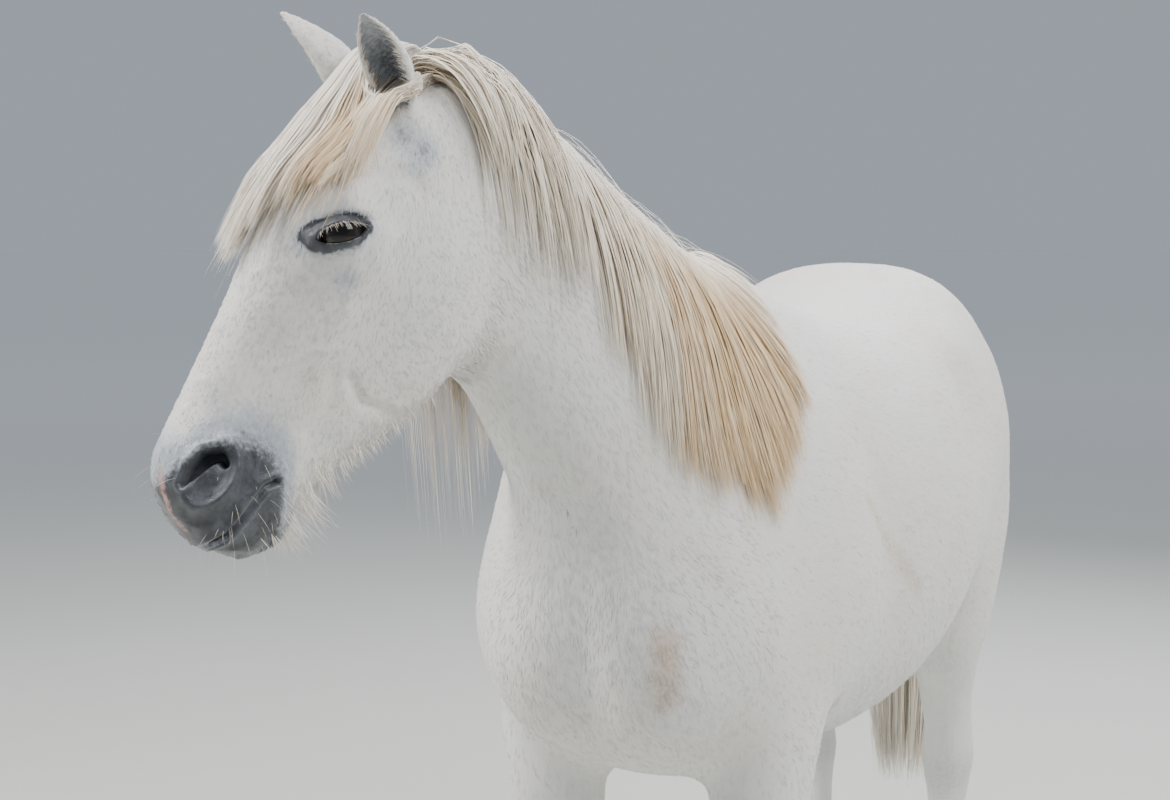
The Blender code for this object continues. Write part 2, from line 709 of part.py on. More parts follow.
def lock(path, wide, thick, across):
    """One lock of hair: points of its path, its half width and half thickness at the root."""
    rows = []
    for i, point in enumerate(path):
        share = i / (len(path) - 1)
        body = math.sin(math.pi * min(1, share * 1.25 + 0.05))
        flat = thick * (0.35 + 0.65 * body)
        rows.append((*point, wide * (0.75 + 0.25 * body) * (1 - 0.8 * share**4), flat, flat, 2.0, 2.0))

    def place(row):
        i = min(range(len(path)), key=lambda n: (Vector(row[:3]) - Vector(path[n])).length)
        low, high = path[max(i - 1, 0)], path[min(i + 1, len(path) - 1)]
        along = (Vector(high) - Vector(low)).normalized()
        side = Vector(across) - along * Vector(across).dot(along)
        side.normalize()
        return Vector(row[:3]), side, along.cross(side)

    return tube(rows, place, steps=1, sides=10)


def at_share(rows, share):
    """The values of a table's columns at this value of its first column."""
    table = np.array(rows)
    return [float(np.interp(share, table[:, 0], table[:, k])) for k in range(table.shape[1])]


# A mane lock's path: where it starts past the crest, its step round the neck, and where it
# leaves the neck (radians), then its step down
PAST_CREST, STEP_ROUND, LEAVES_NECK, STEP_DOWN = 0.16, 0.12, 0.10, 0.02


def mane_path(share, length, side, lift, steps=9):
    """A lock's path: from the crest down the neck's side, then straight down."""
    rows = neck_rows()
    centre, left, up = neck_place(at_share(rows, share))
    wide, above = at_share(rows, share)[3:5]
    path = []
    gone = 0.0
    angle = math.pi / 2 + PAST_CREST
    point = None
    while gone < length:
        if angle > LEAVES_NECK:
            c, s = power_circle(angle, 1.9)
            nxt = centre + left * (side * c * (wide + lift)) + up * (s * (above + lift))
            angle -= STEP_ROUND
        else:
            nxt = point + Vector((0, 0, -STEP_DOWN))
        if point is not None:
            gone += (nxt - point).length
        point = nxt
        path.append(point)
    picks = np.linspace(0, len(path) - 1, steps).round().astype(int)
    return [path[k] for k in picks], left.cross(up)


def parting(name, side):
    """A wall that keeps the hair of one side of the crest off the other side."""
    mesh = bmesh.new()
    rings = []
    for share in (-0.20, 0.0, 0.20, 0.35, 0.50, 0.65, 0.80, 0.95, 1.10, 1.40):
        centre, left, up = neck_place((share, 1.0, 0.0))
        near = centre - left * (side * GAP / 2)
        far = centre + left * (side * 0.45)
        rings.append([mesh.verts.new((p.x, p.y, z)) for p, z in ((near, 1.0), (far, 1.0), (far, 2.0), (near, 2.0))])
    for low, high in zip(rings, rings[1:]):
        for k in range(4):
            mesh.faces.new((low[k], low[k - 1], high[k - 1], high[k]))
    mesh.faces.new(rings[0])
    mesh.faces.new(list(reversed(rings[-1])))
    bmesh.ops.recalc_face_normals(mesh, faces=mesh.faces)
    return add_object(name, [mesh])


# Mane: number of locks, then share along the neck, shortest and longest lock on each side
MANE_LOCKS = 22
MANE_LEFT = ((0.10, 0.10, 0.14), (0.30, 0.22, 0.30), (0.55, 0.34, 0.42), (0.80, 0.30, 0.38), (0.99, 0.20, 0.26))
MANE_RIGHT = ((0.12, 0.08, 0.12), (0.30, 0.16, 0.22), (0.55, 0.22, 0.30), (0.80, 0.38, 0.46), (0.99, 0.36, 0.42))
# The locks' middle over the neck, how much more every second lock has, and what the poll adds
MANE_LIFT, MANE_STAGGER, POLL_RISE = 0.008, 0.005, 0.016
LOCK_WIDE, LOCK_THICK = 0.022, 0.012
MANE_VOXEL, MANE_TRIANGLES = 0.0075, 680


def mane_shapes(lengths, side):
    shapes = []
    for k in range(MANE_LOCKS):
        share = lengths[0][0] + (lengths[-1][0] - lengths[0][0]) * k / (MANE_LOCKS - 1)
        short, long = at_share(lengths, share)[1:]
        length = short if k % 3 == 1 else long if k % 3 == 2 else (short + long) / 2
        lift = MANE_LIFT + MANE_STAGGER * (k % 2) + POLL_RISE * max(0.0, share - 0.80) / 0.20
        path, across = mane_path(share, length, side, lift)
        shapes.append(lock(path, LOCK_WIDE, LOCK_THICK, across))
    return shapes


def forehead(across, down):
    """Height of the face at a place beside its midline."""
    level, wide, above = at_share(SKULL, down)[1:4]
    edge = min(0.97, abs(across) / (wide + 0.012))
    return level + above * (1 - edge**2.2) ** (1 / 2.2)


FORELOCKS = 11
FORELOCK_WIDE, FORELOCK_THICK = 0.019, 0.012
FORELOCK_VOXEL, FORELOCK_TRIANGLES = 0.0065, 330


def forelock_shapes():
    shapes = []
    for k in range(FORELOCKS):
        a = 2 * k / (FORELOCKS - 1) - 1
        length = 0.285 - 0.095 * max(0, a) + (0.014 if k % 2 else -0.010)
        path = []
        for step in range(8):
            q = step / 7
            down = -0.012 + length * q
            across = a * (0.030 + 0.052 * q**0.7)
            rise = forehead(across, max(down, 0)) + 0.004 + 0.014 * q + 0.010 * max(0, a) * q
            path.append(on_head((across, down, rise)))
        shapes.append(lock(path, FORELOCK_WIDE, FORELOCK_THICK, head_axes()[0]))
    return shapes


# Tail: columns are height, behind, then half width and half depth of the whole brush
TAIL = (
    (1.330, 0.690, 0.034, 0.030),
    (1.295, 0.755, 0.040, 0.034),
    (1.220, 0.800, 0.050, 0.040),
    (1.100, 0.822, 0.062, 0.046),
    (0.950, 0.830, 0.074, 0.052),
    (0.800, 0.832, 0.082, 0.056),
    (0.650, 0.832, 0.084, 0.056),
    (0.500, 0.832, 0.074, 0.050),
)
TAIL_LOCKS = 9
TAIL_HANGS = TAIL[-1][1]  # how far behind its lower part hangs
TAIL_END, TAIL_UNEVEN = 0.40, 0.07  # height of the lowest lock, and how much higher others end
TAIL_WIDE, TAIL_THICK = 0.030, 0.022
TAIL_VOXEL, TAIL_TRIANGLES = 0.008, 700


def tail_shapes():
    def place(row):
        return Vector((0, row[1], row[0])), Vector((1, 0, 0)), Vector((0, 1, 0))

    rows = [(*row[:2], row[2], row[3], row[3], 2.0, 2.0) for row in TAIL]
    shapes = [tube(rows, place, steps=2, sides=20)]
    for k in range(TAIL_LOCKS):
        angle = 2 * math.pi * k / TAIL_LOCKS
        end = TAIL_END + TAIL_UNEVEN * (k * 4 % TAIL_LOCKS) / TAIL_LOCKS
        path = []
        for row in TAIL[3:]:
            path.append(Vector((row[2] * 0.72 * math.cos(angle), row[1] + row[3] * 0.72 * math.sin(angle), row[0])))
        last = path[-1]
        path.append(Vector((last.x * 0.75, TAIL_HANGS + (last.y - TAIL_HANGS) * 0.6, (last.z + end) / 2)))
        path.append(Vector((last.x * 0.60, TAIL_HANGS + (last.y - TAIL_HANGS) * 0.4, end)))
        shapes.append(lock(path, TAIL_WIDE, TAIL_THICK, (-math.sin(angle), math.cos(angle), 0)))
    return shapes


def hair(name, shapes, around, voxel, triangles):
    """A fused solid of locks, cleared from the pieces around it."""
    obj = fused(name, shapes, voxel)
    thin_out(obj, triangles)
    for other in around:
        clearance = {"flesh": CLEARANCE, "parting": 0}.get(other.name.split()[0], 4 * CLEARANCE)
        cut(obj, inflated(other, f"around {other.name}", clearance), "DIFFERENCE")
    keep_largest(obj)
    return obj


# ---------------------------------------------------------------- the whole horse


def painted(obj, look):
    colour, roughness = look
    material = bpy.data.materials.new(obj.name)
    material.use_nodes = True
    shader = material.node_tree.nodes["Principled BSDF"]
    shader.inputs["Base Color"].default_value = (*colour, 1)
    shader.inputs["Roughness"].default_value = roughness
    shader.inputs["Metallic"].default_value = 0.0
    obj.data.materials.clear()
    obj.data.materials.append(material)
    obj.data.transform(Matrix.Translation(-MIDDLE))


def main():
    for obj in list(bpy.data.objects):
        bpy.data.objects.remove(obj)
    whole = flesh()
    pieces = part_flesh(whole)
    looks = {name: COAT for name in pieces}
    looks["muzzle"] = MUZZLE
    for end, side in (("left", 1), ("right", -1)):
        pieces[f"eye_{end}"] = eye(f"eye_{end}", side, EYE_RADIUS)
        looks[f"eye_{end}"] = EYEBALL
        cut(pieces["head"], eye(f"eye socket {end}", side, EYE_RADIUS + GAP), "DIFFERENCE")
        pieces[f"ear_{end}"] = ear(f"ear_{end}", side)
        looks[f"ear_{end}"] = EAR
        cut(pieces["head"], ear_seat(f"ear seat {end}", side), "DIFFERENCE")
    keep_largest(pieces["head"])
    for name, obj in hooves().items():
        pieces[name] = obj
        looks[name] = HOOF
    ears = [pieces["ear_left"], pieces["ear_right"]]
    for end, side, lengths in (("left", 1, MANE_LEFT), ("right", -1, MANE_RIGHT)):
        around = [whole, *ears, helper(parting(f"parting {end}", -side))]
        name = f"mane_{end}"
        pieces[name] = hair(name, mane_shapes(lengths, side), around, MANE_VOXEL, MANE_TRIANGLES)
    around = [whole, *ears, pieces["mane_left"], pieces["mane_right"]]
    pieces["forelock"] = hair("forelock", forelock_shapes(), around, FORELOCK_VOXEL, FORELOCK_TRIANGLES)
    pieces["tail"] = hair("tail", tail_shapes(), [whole], TAIL_VOXEL, TAIL_TRIANGLES)
    for name in ("mane_left", "mane_right", "forelock", "tail"):
        looks[name] = HAIR
    for name, obj in pieces.items():
        painted(obj, looks[name])
    for obj in list(bpy.data.objects):
        if obj.hide_render or obj == whole:
            bpy.data.objects.remove(obj)


main()
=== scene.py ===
import math

import bpy
import numpy as np
from mathutils import Matrix, Vector
from mathutils.bvhtree import BVHTree


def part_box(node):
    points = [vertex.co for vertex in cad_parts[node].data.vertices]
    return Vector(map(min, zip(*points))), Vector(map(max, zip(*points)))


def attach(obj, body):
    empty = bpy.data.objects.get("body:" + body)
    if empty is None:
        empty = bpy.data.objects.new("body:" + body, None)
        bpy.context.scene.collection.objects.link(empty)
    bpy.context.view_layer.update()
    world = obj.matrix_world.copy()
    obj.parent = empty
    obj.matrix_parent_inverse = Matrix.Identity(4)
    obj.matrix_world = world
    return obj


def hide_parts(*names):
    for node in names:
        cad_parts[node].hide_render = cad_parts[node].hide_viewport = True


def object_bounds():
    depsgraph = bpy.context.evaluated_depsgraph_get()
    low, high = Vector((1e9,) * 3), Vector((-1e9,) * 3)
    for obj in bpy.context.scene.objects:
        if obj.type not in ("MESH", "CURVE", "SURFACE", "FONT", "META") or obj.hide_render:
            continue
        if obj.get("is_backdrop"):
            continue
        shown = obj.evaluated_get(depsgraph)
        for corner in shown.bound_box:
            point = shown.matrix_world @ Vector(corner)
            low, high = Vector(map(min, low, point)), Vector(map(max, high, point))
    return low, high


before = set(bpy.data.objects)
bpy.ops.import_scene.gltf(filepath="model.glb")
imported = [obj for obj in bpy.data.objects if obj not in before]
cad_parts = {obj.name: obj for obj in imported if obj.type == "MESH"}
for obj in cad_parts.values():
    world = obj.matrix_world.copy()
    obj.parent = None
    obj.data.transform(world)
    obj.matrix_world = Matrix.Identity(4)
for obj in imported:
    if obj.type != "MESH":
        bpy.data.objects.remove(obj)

solid_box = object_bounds()

# ---------------------------------------------------------------- camera, floor and light
# A visitor stands at the horse's left front. The floor is plain and pale and runs out of sight,
# under a large soft lamp at the upper left, a fill lamp at the right and an even sky.

look_at = Vector((-0.140, -0.2306, 1.265))
camera_away = 2.511
camera_round = math.radians(25.04)
camera_above = math.radians(5.46)
frame_width, lens_to_frame = 36, 1.546

bpy.ops.object.select_all(action="DESELECT")
flat = camera_away * math.cos(camera_above)
eye_place = look_at + Vector(
    (flat * math.sin(camera_round), -flat * math.cos(camera_round), camera_away * math.sin(camera_above))
)
bpy.ops.object.camera_add(location=eye_place, rotation=(math.pi / 2 - camera_above, 0, camera_round))
camera = bpy.context.object
camera.data.sensor_width = frame_width
camera.data.lens = frame_width * lens_to_frame
camera.data.clip_end = 200
bpy.context.scene.camera = camera


class Wire:
    """An output of a shader node, which sums can be written with."""

    def __init__(self, socket):
        self.socket = socket

    def node(self, kind, settings, values, output=0):
        made = self.socket.id_data.nodes.new(kind)
        for name, value in settings.items():
            setattr(made, name, value)
        for name, value in values.items():
            if isinstance(value, Wire):
                self.socket.id_data.links.new(value.socket, made.inputs[name])
            else:
                made.inputs[name].default_value = value
        return Wire(made.outputs[output])

    def maths(self, operation, *values):
        return self.node("ShaderNodeMath", {"operation": operation}, dict(enumerate(values)))

    def vector(self, operation, *values, output=0):
        return self.node("ShaderNodeVectorMath", {"operation": operation}, dict(enumerate(values)), output)

    def __add__(self, other):
        return self.maths("ADD", self, other)

    def __sub__(self, other):
        return self.maths("SUBTRACT", self, other)

    def __rsub__(self, other):
        return self.maths("SUBTRACT", other, self)

    def __mul__(self, other):
        return self.maths("MULTIPLY", self, other)

    __radd__ = __add__
    __rmul__ = __mul__

    def rising(self, low, high):
        """0 up to low, 1 from high, and smooth between them."""
        limits = {"Value": self, "From Min": low, "From Max": high}
        return self.node("ShaderNodeMapRange", {"interpolation_type": "SMOOTHSTEP"}, limits)

    def mixed(self, low, high):
        """The colour low where this share is 0, and high where it is 1."""
        return self.node("ShaderNodeMix", {"data_type": "RGBA"}, {0: self, 6: low, 7: high}, 2)

    def tinted(self, tint):
        """This colour multiplied by another."""
        settings = {"data_type": "RGBA", "blend_type": "MULTIPLY"}
        return self.node("ShaderNodeMix", settings, {0: 1.0, 6: self, 7: tint}, 2)

    def noise(self, scale, detail=2.0, rough=0.5):
        settings = {"Vector": self, "Scale": scale, "Detail": detail, "Roughness": rough}
        return self.node("ShaderNodeTexNoise", {}, settings)


def new_finish(name, roughness, even=()):
    """A material, its shader node and the wire of the place in the object's own coordinates.

    Even holds the sockets that are the same all over, and their values.
    """
    material = bpy.data.materials.new(name)
    material.use_nodes = True
    tree = material.node_tree
    shader = tree.nodes["Principled BSDF"]
    for socket, value in (("Roughness", roughness), *even):
        shader.inputs[socket].default_value = value
    place = Wire(tree.nodes.new("ShaderNodeTexCoord").outputs["Object"])
    return material, shader, place


def plug(wire, shader, name):
    shader.id_data.links.new(wire.socket, shader.inputs[name])


def bump(height, depth, strength=1.0):
    """A normal from a height between 0 and 1 that stands for this depth."""
    return height.node("ShaderNodeBump", {}, {"Height": height, "Distance": depth, "Strength": strength})


floor_radius, near_floor_ends, far_floor_starts = 120, 1.5, 16
floor_colours = ((0.54, 0.55, 0.51, 1), (0.58, 0.59, 0.55, 1))
# painted light: far from the horse the floor is painted nearly white, to make up for the lamp light that
# does not reach it there, so that it meets the sky without an edge
far_floor_painted_light = (0.985, 0.99, 0.985, 1)
bpy.ops.mesh.primitive_circle_add(vertices=96, radius=floor_radius, fill_type="NGON", location=(0, 0, 0))
floor = bpy.context.object
floor.name = "floor"
material, shader, place = new_finish("plain floor", 0.85)
away = place.vector("LENGTH", place, output="Value").rising(near_floor_ends, far_floor_starts)
plug(away.mixed(place.noise(1.3, 4).mixed(*floor_colours), far_floor_painted_light), shader, "Base Color")
plug(bump(place.noise(160, 2), 0.0006), shader, "Normal")
floor.data.materials.append(material)
floor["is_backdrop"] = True

sky_colour, sky_strength = (0.80, 0.88, 1.0, 1), 0.44
world = bpy.data.worlds.new("even sky")
bpy.context.scene.world = world
world.use_nodes = True
world.node_tree.nodes["Background"].inputs["Color"].default_value = sky_colour
world.node_tree.nodes["Background"].inputs["Strength"].default_value = sky_strength

lamps_aim = Vector((0, -0.3, 1.1))
# place, size, power and colour of each lamp
lamps = (
    ((-2.6, -2.2, 4.4), 3.0, 375, (1.0, 0.98, 0.95)),
    ((3.2, -0.4, 4.2), 2.8, 245, (1.0, 0.98, 0.95)),
    ((0.4, 3.8, 3.8), 3.0, 190, (0.97, 0.98, 1.0)),
)
for lamp_place, size, power, colour in lamps:
    bpy.ops.object.light_add(type="AREA", location=lamp_place)
    lamp = bpy.context.object
    lamp.data.size = size
    lamp.data.energy = power
    lamp.data.color = colour
    lamp.rotation_euler = (lamps_aim - Vector(lamp_place)).to_track_quat("-Z", "Y").to_euler()

# ---------------------------------------------------------------- skin: the whole hide
# One hide over head, neck, trunk and legs. It is fused from the solids of the flesh and eased
# into one surface, which lies inside them by the depth of the coat.

flesh_nodes = ["head", "muzzle", "neck", "trunk"]
flesh_nodes += [f"{leg}_{end}" for leg in ("foreleg", "hindleg") for end in ("left", "right")]
both_sides = ((1, "left"), (-1, "right"))
hide_voxel, cut_overlap, same_point = 0.0139, 0.001, 0.00001
coat_depth = 0.003
hide_swell = 0.525

# the head's own measures: w to the horse's left, u down the nose, v out of the face, from the poll
head_pitch = math.radians(66)
eye_down, eye_out = 0.205, 0.040


def unit(ways):
    """One way, or each of many, made one long."""
    if np.ndim(ways) == 1:
        return ways / np.linalg.norm(ways)
    return ways / np.maximum(np.linalg.norm(ways, axis=-1, keepdims=True), 1e-6)


def square_to(axis, way):
    """This way turned square to the axis, and one long."""
    return unit(way - axis * (way @ axis))


eye_middles = {}
for side, end in both_sides:
    low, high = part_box(f"eye_{end}")
    eye_middles[side] = np.array((low + high) / 2)
eye_radius = (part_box("eye_left")[1].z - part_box("eye_left")[0].z) / 2
head_left = unit(eye_middles[1] - eye_middles[-1])
level_forward = np.cross((0, 0, -1), head_left)
head_down = math.cos(head_pitch) * level_forward - math.sin(head_pitch) * np.array((0, 0, 1.0))
head_out = np.cross(head_down, head_left)
poll = (eye_middles[1] + eye_middles[-1]) / 2 - eye_down * head_down - eye_out * head_out
head_axes = np.array((head_left, head_down, head_out))


def in_head(points):
    return (points - poll) @ head_axes.T


def from_head(places):
    return poll + np.asarray(places) @ head_axes


# the ears' roots and tips, and the way the left ear's hollow faces, in the head's measures
ear_root = (0.046, 0.062, 0.004)
ear_tip = {1: (0.092, -0.006, 0.112), -1: (0.080, -0.014, 0.138)}
ear_faces = (0.75, 0.45, 0.35)
ear_bend = 0.012
ear_mound, mound_share = 0.0215, 0.10
ear_frames = {}
for side in (1, -1):
    root = from_head((side * ear_root[0], *ear_root[1:]))
    tip = from_head((side * ear_tip[side][0], *ear_tip[side][1:]))
    along = unit(tip - root)
    faces = square_to(along, np.array((side * ear_faces[0], *ear_faces[1:])) @ head_axes)
    ear_frames[side] = (root, tip - root, np.cross(along, faces), faces)


def ear_middle(side, share):
    """The middle of the ear at this share of its length."""
    root, run, _, faces = ear_frames[side]
    share = np.asarray(share)[..., None]
    return root + run * share - faces * (ear_bend * np.sin(math.pi * share))


def smooth_step(value, low, high):
    share = np.clip((value - low) / (high - low), 0, 1)
    return share * share * (3 - 2 * share)


def bell(away, width):
    """1 at no distance, and falling off with it."""
    return np.exp(-((away / width) ** 2))


def read(items, name, width, kind=np.float32):
    values = np.empty(len(items) * width, kind)
    items.foreach_get(name, values)
    return values.reshape(-1, width) if width > 1 else values


def points_of(mesh):
    return read(mesh.vertices, "co", 3).astype(float)


def normals_of(mesh):
    mesh.update()
    return read(mesh.vertices, "normal", 3).astype(float)


def set_points(mesh, points):
    mesh.vertices.foreach_set("co", points.astype(np.float32).ravel())
    mesh.update()


def eased(mesh, points, weights, passes, swell=0.0):
    """Points pulled towards their neighbours' middle. A swell near the pull keeps the volume."""
    ends = read(mesh.edges, "vertices", 2, np.int32)
    count = len(points)
    degree = np.maximum(np.bincount(ends.ravel(), minlength=count), 1)
    weights = np.broadcast_to(weights, count)[:, None]
    for _ in range(passes):
        for pull in (0.5, -swell) if swell else (0.5,):
            total = np.empty_like(points)
            for axis in range(3):
                far = np.bincount(ends[:, 0], points[ends[:, 1], axis], count)
                total[:, axis] = far + np.bincount(ends[:, 1], points[ends[:, 0], axis], count)
            points = points + pull * weights * (total / degree[:, None] - points)
    return points


bpy.ops.object.select_all(action="DESELECT")
for name in flesh_nodes:
    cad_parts[name].select_set(True)
bpy.context.view_layer.objects.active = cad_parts["trunk"]
bpy.ops.object.duplicate()
bpy.ops.object.join()
skin = bpy.context.object
skin.name = "skin"
skin.parent = None
for key in list(skin.keys()):
    del skin[key]
skin.data.materials.clear()
bpy.ops.object.mode_set(mode="EDIT")
bpy.ops.mesh.select_all(action="SELECT")
bpy.ops.mesh.remove_doubles(threshold=same_point)
bpy.ops.object.mode_set(mode="OBJECT")
for side in (1, -1):
    bpy.ops.mesh.primitive_uv_sphere_add(segments=24, ring_count=16, radius=ear_mound)
    mound = bpy.context.object
    mound.data.transform(Matrix.Translation(ear_middle(side, mound_share)))
    skin.select_set(True)
    bpy.context.view_layer.objects.active = skin
    bpy.ops.object.join()


def change_skin(name, kind, **settings):
    """Applies a new modifier with these settings to the skin."""
    modifier = skin.modifiers.new(name, kind)
    for key, value in settings.items():
        setattr(modifier, key, value)
    bpy.context.view_layer.objects.active = skin
    bpy.ops.object.modifier_apply(modifier=modifier.name)


change_skin("close the cuts", "DISPLACE", mid_level=0, strength=cut_overlap)
change_skin("fuse", "REMESH", mode="VOXEL", voxel_size=hide_voxel)
head_centre, head_reach = (0, 0.25, -0.02), 0.38


def gone(places, centre):
    """Distance of each place from the centre."""
    return np.linalg.norm(places - centre, axis=1)


def head_share(points):
    """1 on the head, 0 behind the plane that runs from the poll to the throat."""
    places = in_head(points)
    ahead = (places[:, 1] + 0.055) * 0.413 + (places[:, 2] + 0.060) * 0.911
    return smooth_step(ahead, -0.015, 0.010) * (gone(places, head_centre) < head_reach)


def leg_share(points):
    return smooth_step(-points[:, 2], -0.86, -0.70)


def trunk_share(points):
    return smooth_step(points[:, 1], -0.55, -0.25)


points = points_of(skin.data)
gentle = 1 - 0.75 * head_share(points) - 0.55 * leg_share(points)
points = eased(skin.data, points, gentle, 45, hide_swell)
set_points(skin.data, points)


def refine(mesh_object, chosen, cuts):
    """Divides the faces whose middles are chosen."""
    bpy.ops.object.select_all(action="DESELECT")
    mesh_object.select_set(True)
    bpy.context.view_layer.objects.active = mesh_object
    mesh = mesh_object.data
    middles = read(mesh.polygons, "center", 3)
    mesh.vertices.foreach_set("select", np.zeros(len(mesh.vertices), bool))
    mesh.edges.foreach_set("select", np.zeros(len(mesh.edges), bool))
    mesh.polygons.foreach_set("select", np.array(chosen(middles), bool))
    bpy.ops.object.mode_set(mode="EDIT")
    bpy.ops.mesh.select_mode(type="FACE")
    bpy.ops.mesh.subdivide(number_cuts=cuts, smoothness=0)
    bpy.ops.object.mode_set(mode="OBJECT")


refine(skin, lambda middles: head_share(middles) > 0.5, 3)
refine(skin, lambda middles: middles[:, 2] < 0.70, 1)
points = points_of(skin.data)
firm = np.maximum(head_share(points), 0.8 * (points[:, 2] < 0.75))
points = eased(skin.data, points, firm, 14, hide_swell)
set_points(skin.data, points)
points = points - normals_of(skin.data) * coat_depth
set_points(skin.data, points)

# ---------------------------------------------------------------- skin: the forms of the face
# Bone and muscle under the thin hide of the head: rim of the eye socket, cheek bone, veins and
# the folds of the cheek. Each is a swell or a groove along a line in the head's own measures.

# on each side: line (w, u, v), half width, height
face_lines = (
    (((0.062, 0.158, 0.066), (0.078, 0.170, 0.056), (0.084, 0.178, 0.030)), 0.016, 0.006),
    (((0.086, 0.190, -0.004), (0.084, 0.215, 0.000), (0.080, 0.240, 0.012)), 0.014, 0.004),
    (((0.080, 0.262, 0.010), (0.074, 0.300, 0.008), (0.066, 0.345, 0.004)), 0.010, 0.0035),
    (((0.072, 0.290, 0.040), (0.060, 0.340, 0.050), (0.048, 0.400, 0.058)), 0.018, -0.003),
    (
        ((0.045, 0.361, 0.058), (0.051, 0.349, 0.033), (0.061, 0.327, 0.017), (0.067, 0.313, -0.008)),
        0.0035, 0.0012,
    ),
    (
        ((0.064, 0.322, 0.004), (0.058, 0.347, 0.012), (0.051, 0.381, 0.020), (0.051, 0.402, 0.023)),
        0.0035, 0.0012,
    ),
    (((0.058, 0.338, -0.040), (0.052, 0.356, -0.062), (0.040, 0.352, -0.095)), 0.007, -0.0045),
    (((0.057, 0.342, -0.020), (0.053, 0.372, -0.030), (0.049, 0.405, -0.022)), 0.008, -0.002),
    (((0.084, 0.130, 0.030), (0.080, 0.125, 0.010), (0.076, 0.120, -0.010)), 0.014, -0.004),
    (((0.060, 0.205, -0.140), (0.068, 0.270, -0.130), (0.058, 0.315, -0.100)), 0.012, 0.003),
)


def from_line(places, line):
    """Distance of each place from a line of points."""
    nearest = np.full(len(places), np.inf)
    for low, high in zip(line, line[1:]):
        low, run = np.array(low), np.array(high) - low
        share = np.clip((places - low) @ run / (run @ run), 0, 1)
        nearest = np.minimum(nearest, np.linalg.norm(places - low - share[:, None] * run, axis=1))
    return nearest


def mirrored(places):
    return np.column_stack((abs(places[:, 0]), places[:, 1:]))


points = points_of(skin.data)
normals = normals_of(skin.data)
places = mirrored(in_head(points))
lift = np.zeros(len(points))
for line, half_width, height in face_lines:
    lift += height * bell(from_line(places, line), half_width)
points = points + normals * (lift * head_share(points))[:, None]
set_points(skin.data, points)

# ---------------------------------------------------------------- skin: eyelids, nostrils and lips
# The lids wrap the eyeball and leave an almond open over it, with a fold above. The nostril is a
# comma-shaped opening with a raised outer wing, and the lips close along a line to its corner.

lid_axis = unit(np.array((0.93, -0.03, 0.37)))
lid_back = square_to(lid_axis, np.array((0.0, -0.61, -0.79)))
lid_up = np.cross(lid_back, lid_axis)
lid_up *= np.sign(lid_up[2])
eye_in_head = mirrored(in_head(eye_middles[1][None]))[0]
slit_half, slit_above, slit_below = 0.0265, 0.0072, 0.0122
lid_thick, lid_reach = 0.0024, 0.042

nostril_middle = np.array((0.052, 0.480, 0.074))
nostril_axis = unit(np.array((0.84, -0.05, 0.54)))
nostril_down = square_to(nostril_axis, np.array((-0.10, 0.98, 0.12)))
nostril_back = np.cross(nostril_axis, nostril_down)
nostril_back *= -np.sign(nostril_back[2])
# the opening's middle line (back, down), then its half width at each point
nostril_line = ((0.012, -0.016), (0.003, -0.021), (-0.006, -0.012), (-0.010, 0.004), (-0.012, 0.022))
nostril_width = (0.0060, 0.0082, 0.0102, 0.0088, 0.0042)

mouth_line = (
    (0.047, 0.464, -0.008), (0.051, 0.474, 0.004), (0.053, 0.490, 0.010), (0.052, 0.506, 0.013),
    (0.050, 0.520, 0.017), (0.043, 0.535, 0.021), (0.033, 0.546, 0.027), (0.016, 0.556, 0.030),
    (0.0, 0.560, 0.031),
)


def near_fine_parts(middles):
    places = mirrored(in_head(middles.astype(float)))
    by_eye, by_nostril = gone(places, eye_in_head) < lid_reach, gone(places, nostril_middle) < 0.040
    return by_eye | by_nostril | (from_line(places, mouth_line) < 0.011)


refine(skin, near_fine_parts, 1)
points = points_of(skin.data)
points = eased(skin.data, points, near_fine_parts(points) * 1.0, 3, 0.52)
places = in_head(points)
sides = np.sign(places[:, 0])
sides[sides == 0] = 1
places = mirrored(places)


def in_lid_plane(places):
    beside = places - eye_in_head
    return np.column_stack((beside @ lid_back, beside @ lid_up))


def in_nostril_plane(places):
    beside = places - nostril_middle
    return np.column_stack((beside @ nostril_back, beside @ nostril_down))


def snapped(flat_places, gap):
    """Places in a plane, with those near the edge where the gap is 0 moved onto it."""
    reach, step = 0.0009, 0.0001
    here = gap(flat_places)
    slope = np.column_stack(
        [(gap(flat_places + shift) - gap(flat_places - shift)) / (2 * step) for shift in np.eye(2) * step]
    )
    length = np.maximum((slope**2).sum(1), 0.25)
    near = (abs(here) < reach)[:, None]
    return np.where(near, flat_places - slope * (here / length)[:, None], flat_places)


def lid_edge(along, rise):
    """How high the edge of a lid lies along the opening, when it rises so much in the middle."""
    return -0.10 * along + rise * np.clip(1 - (along / slit_half) ** 2, 0, 1) ** 0.75


def globe_height(reach):
    """The eyeball's height over the eye's plane, with a least height past its rim."""
    return np.sqrt(np.maximum(eye_radius**2 - reach**2, (0.42 * eye_radius) ** 2))


def lid_gap(flat_places):
    """How far a place (along, up) in the eye's plane is outside the opening, below 0 in it."""
    along, up = flat_places.T
    above = lid_edge(along, slit_above)
    below = lid_edge(along, -slit_below) - 0.002 * np.clip(-along / slit_half, 0, 1)
    outside = np.maximum(up - above, below - up)
    past_end = np.maximum(abs(along) - slit_half, 0)
    return np.where(past_end > 0, np.hypot(past_end, np.maximum(outside, 0)), outside)


def nostril_gap(flat_places):
    """How far a place (back, down) in the nostril's plane is outside its opening."""
    gap = np.full(len(flat_places), np.inf)
    for k in range(len(nostril_line) - 1):
        low, run = np.array(nostril_line[k]), np.array(nostril_line[k + 1]) - nostril_line[k]
        share = np.clip((flat_places - low) @ run / (run @ run), 0, 1)
        width = nostril_width[k] + share * (nostril_width[k + 1] - nostril_width[k])
        gap = np.minimum(gap, np.linalg.norm(flat_places - low - share[:, None] * run, axis=1) - width)
    return gap


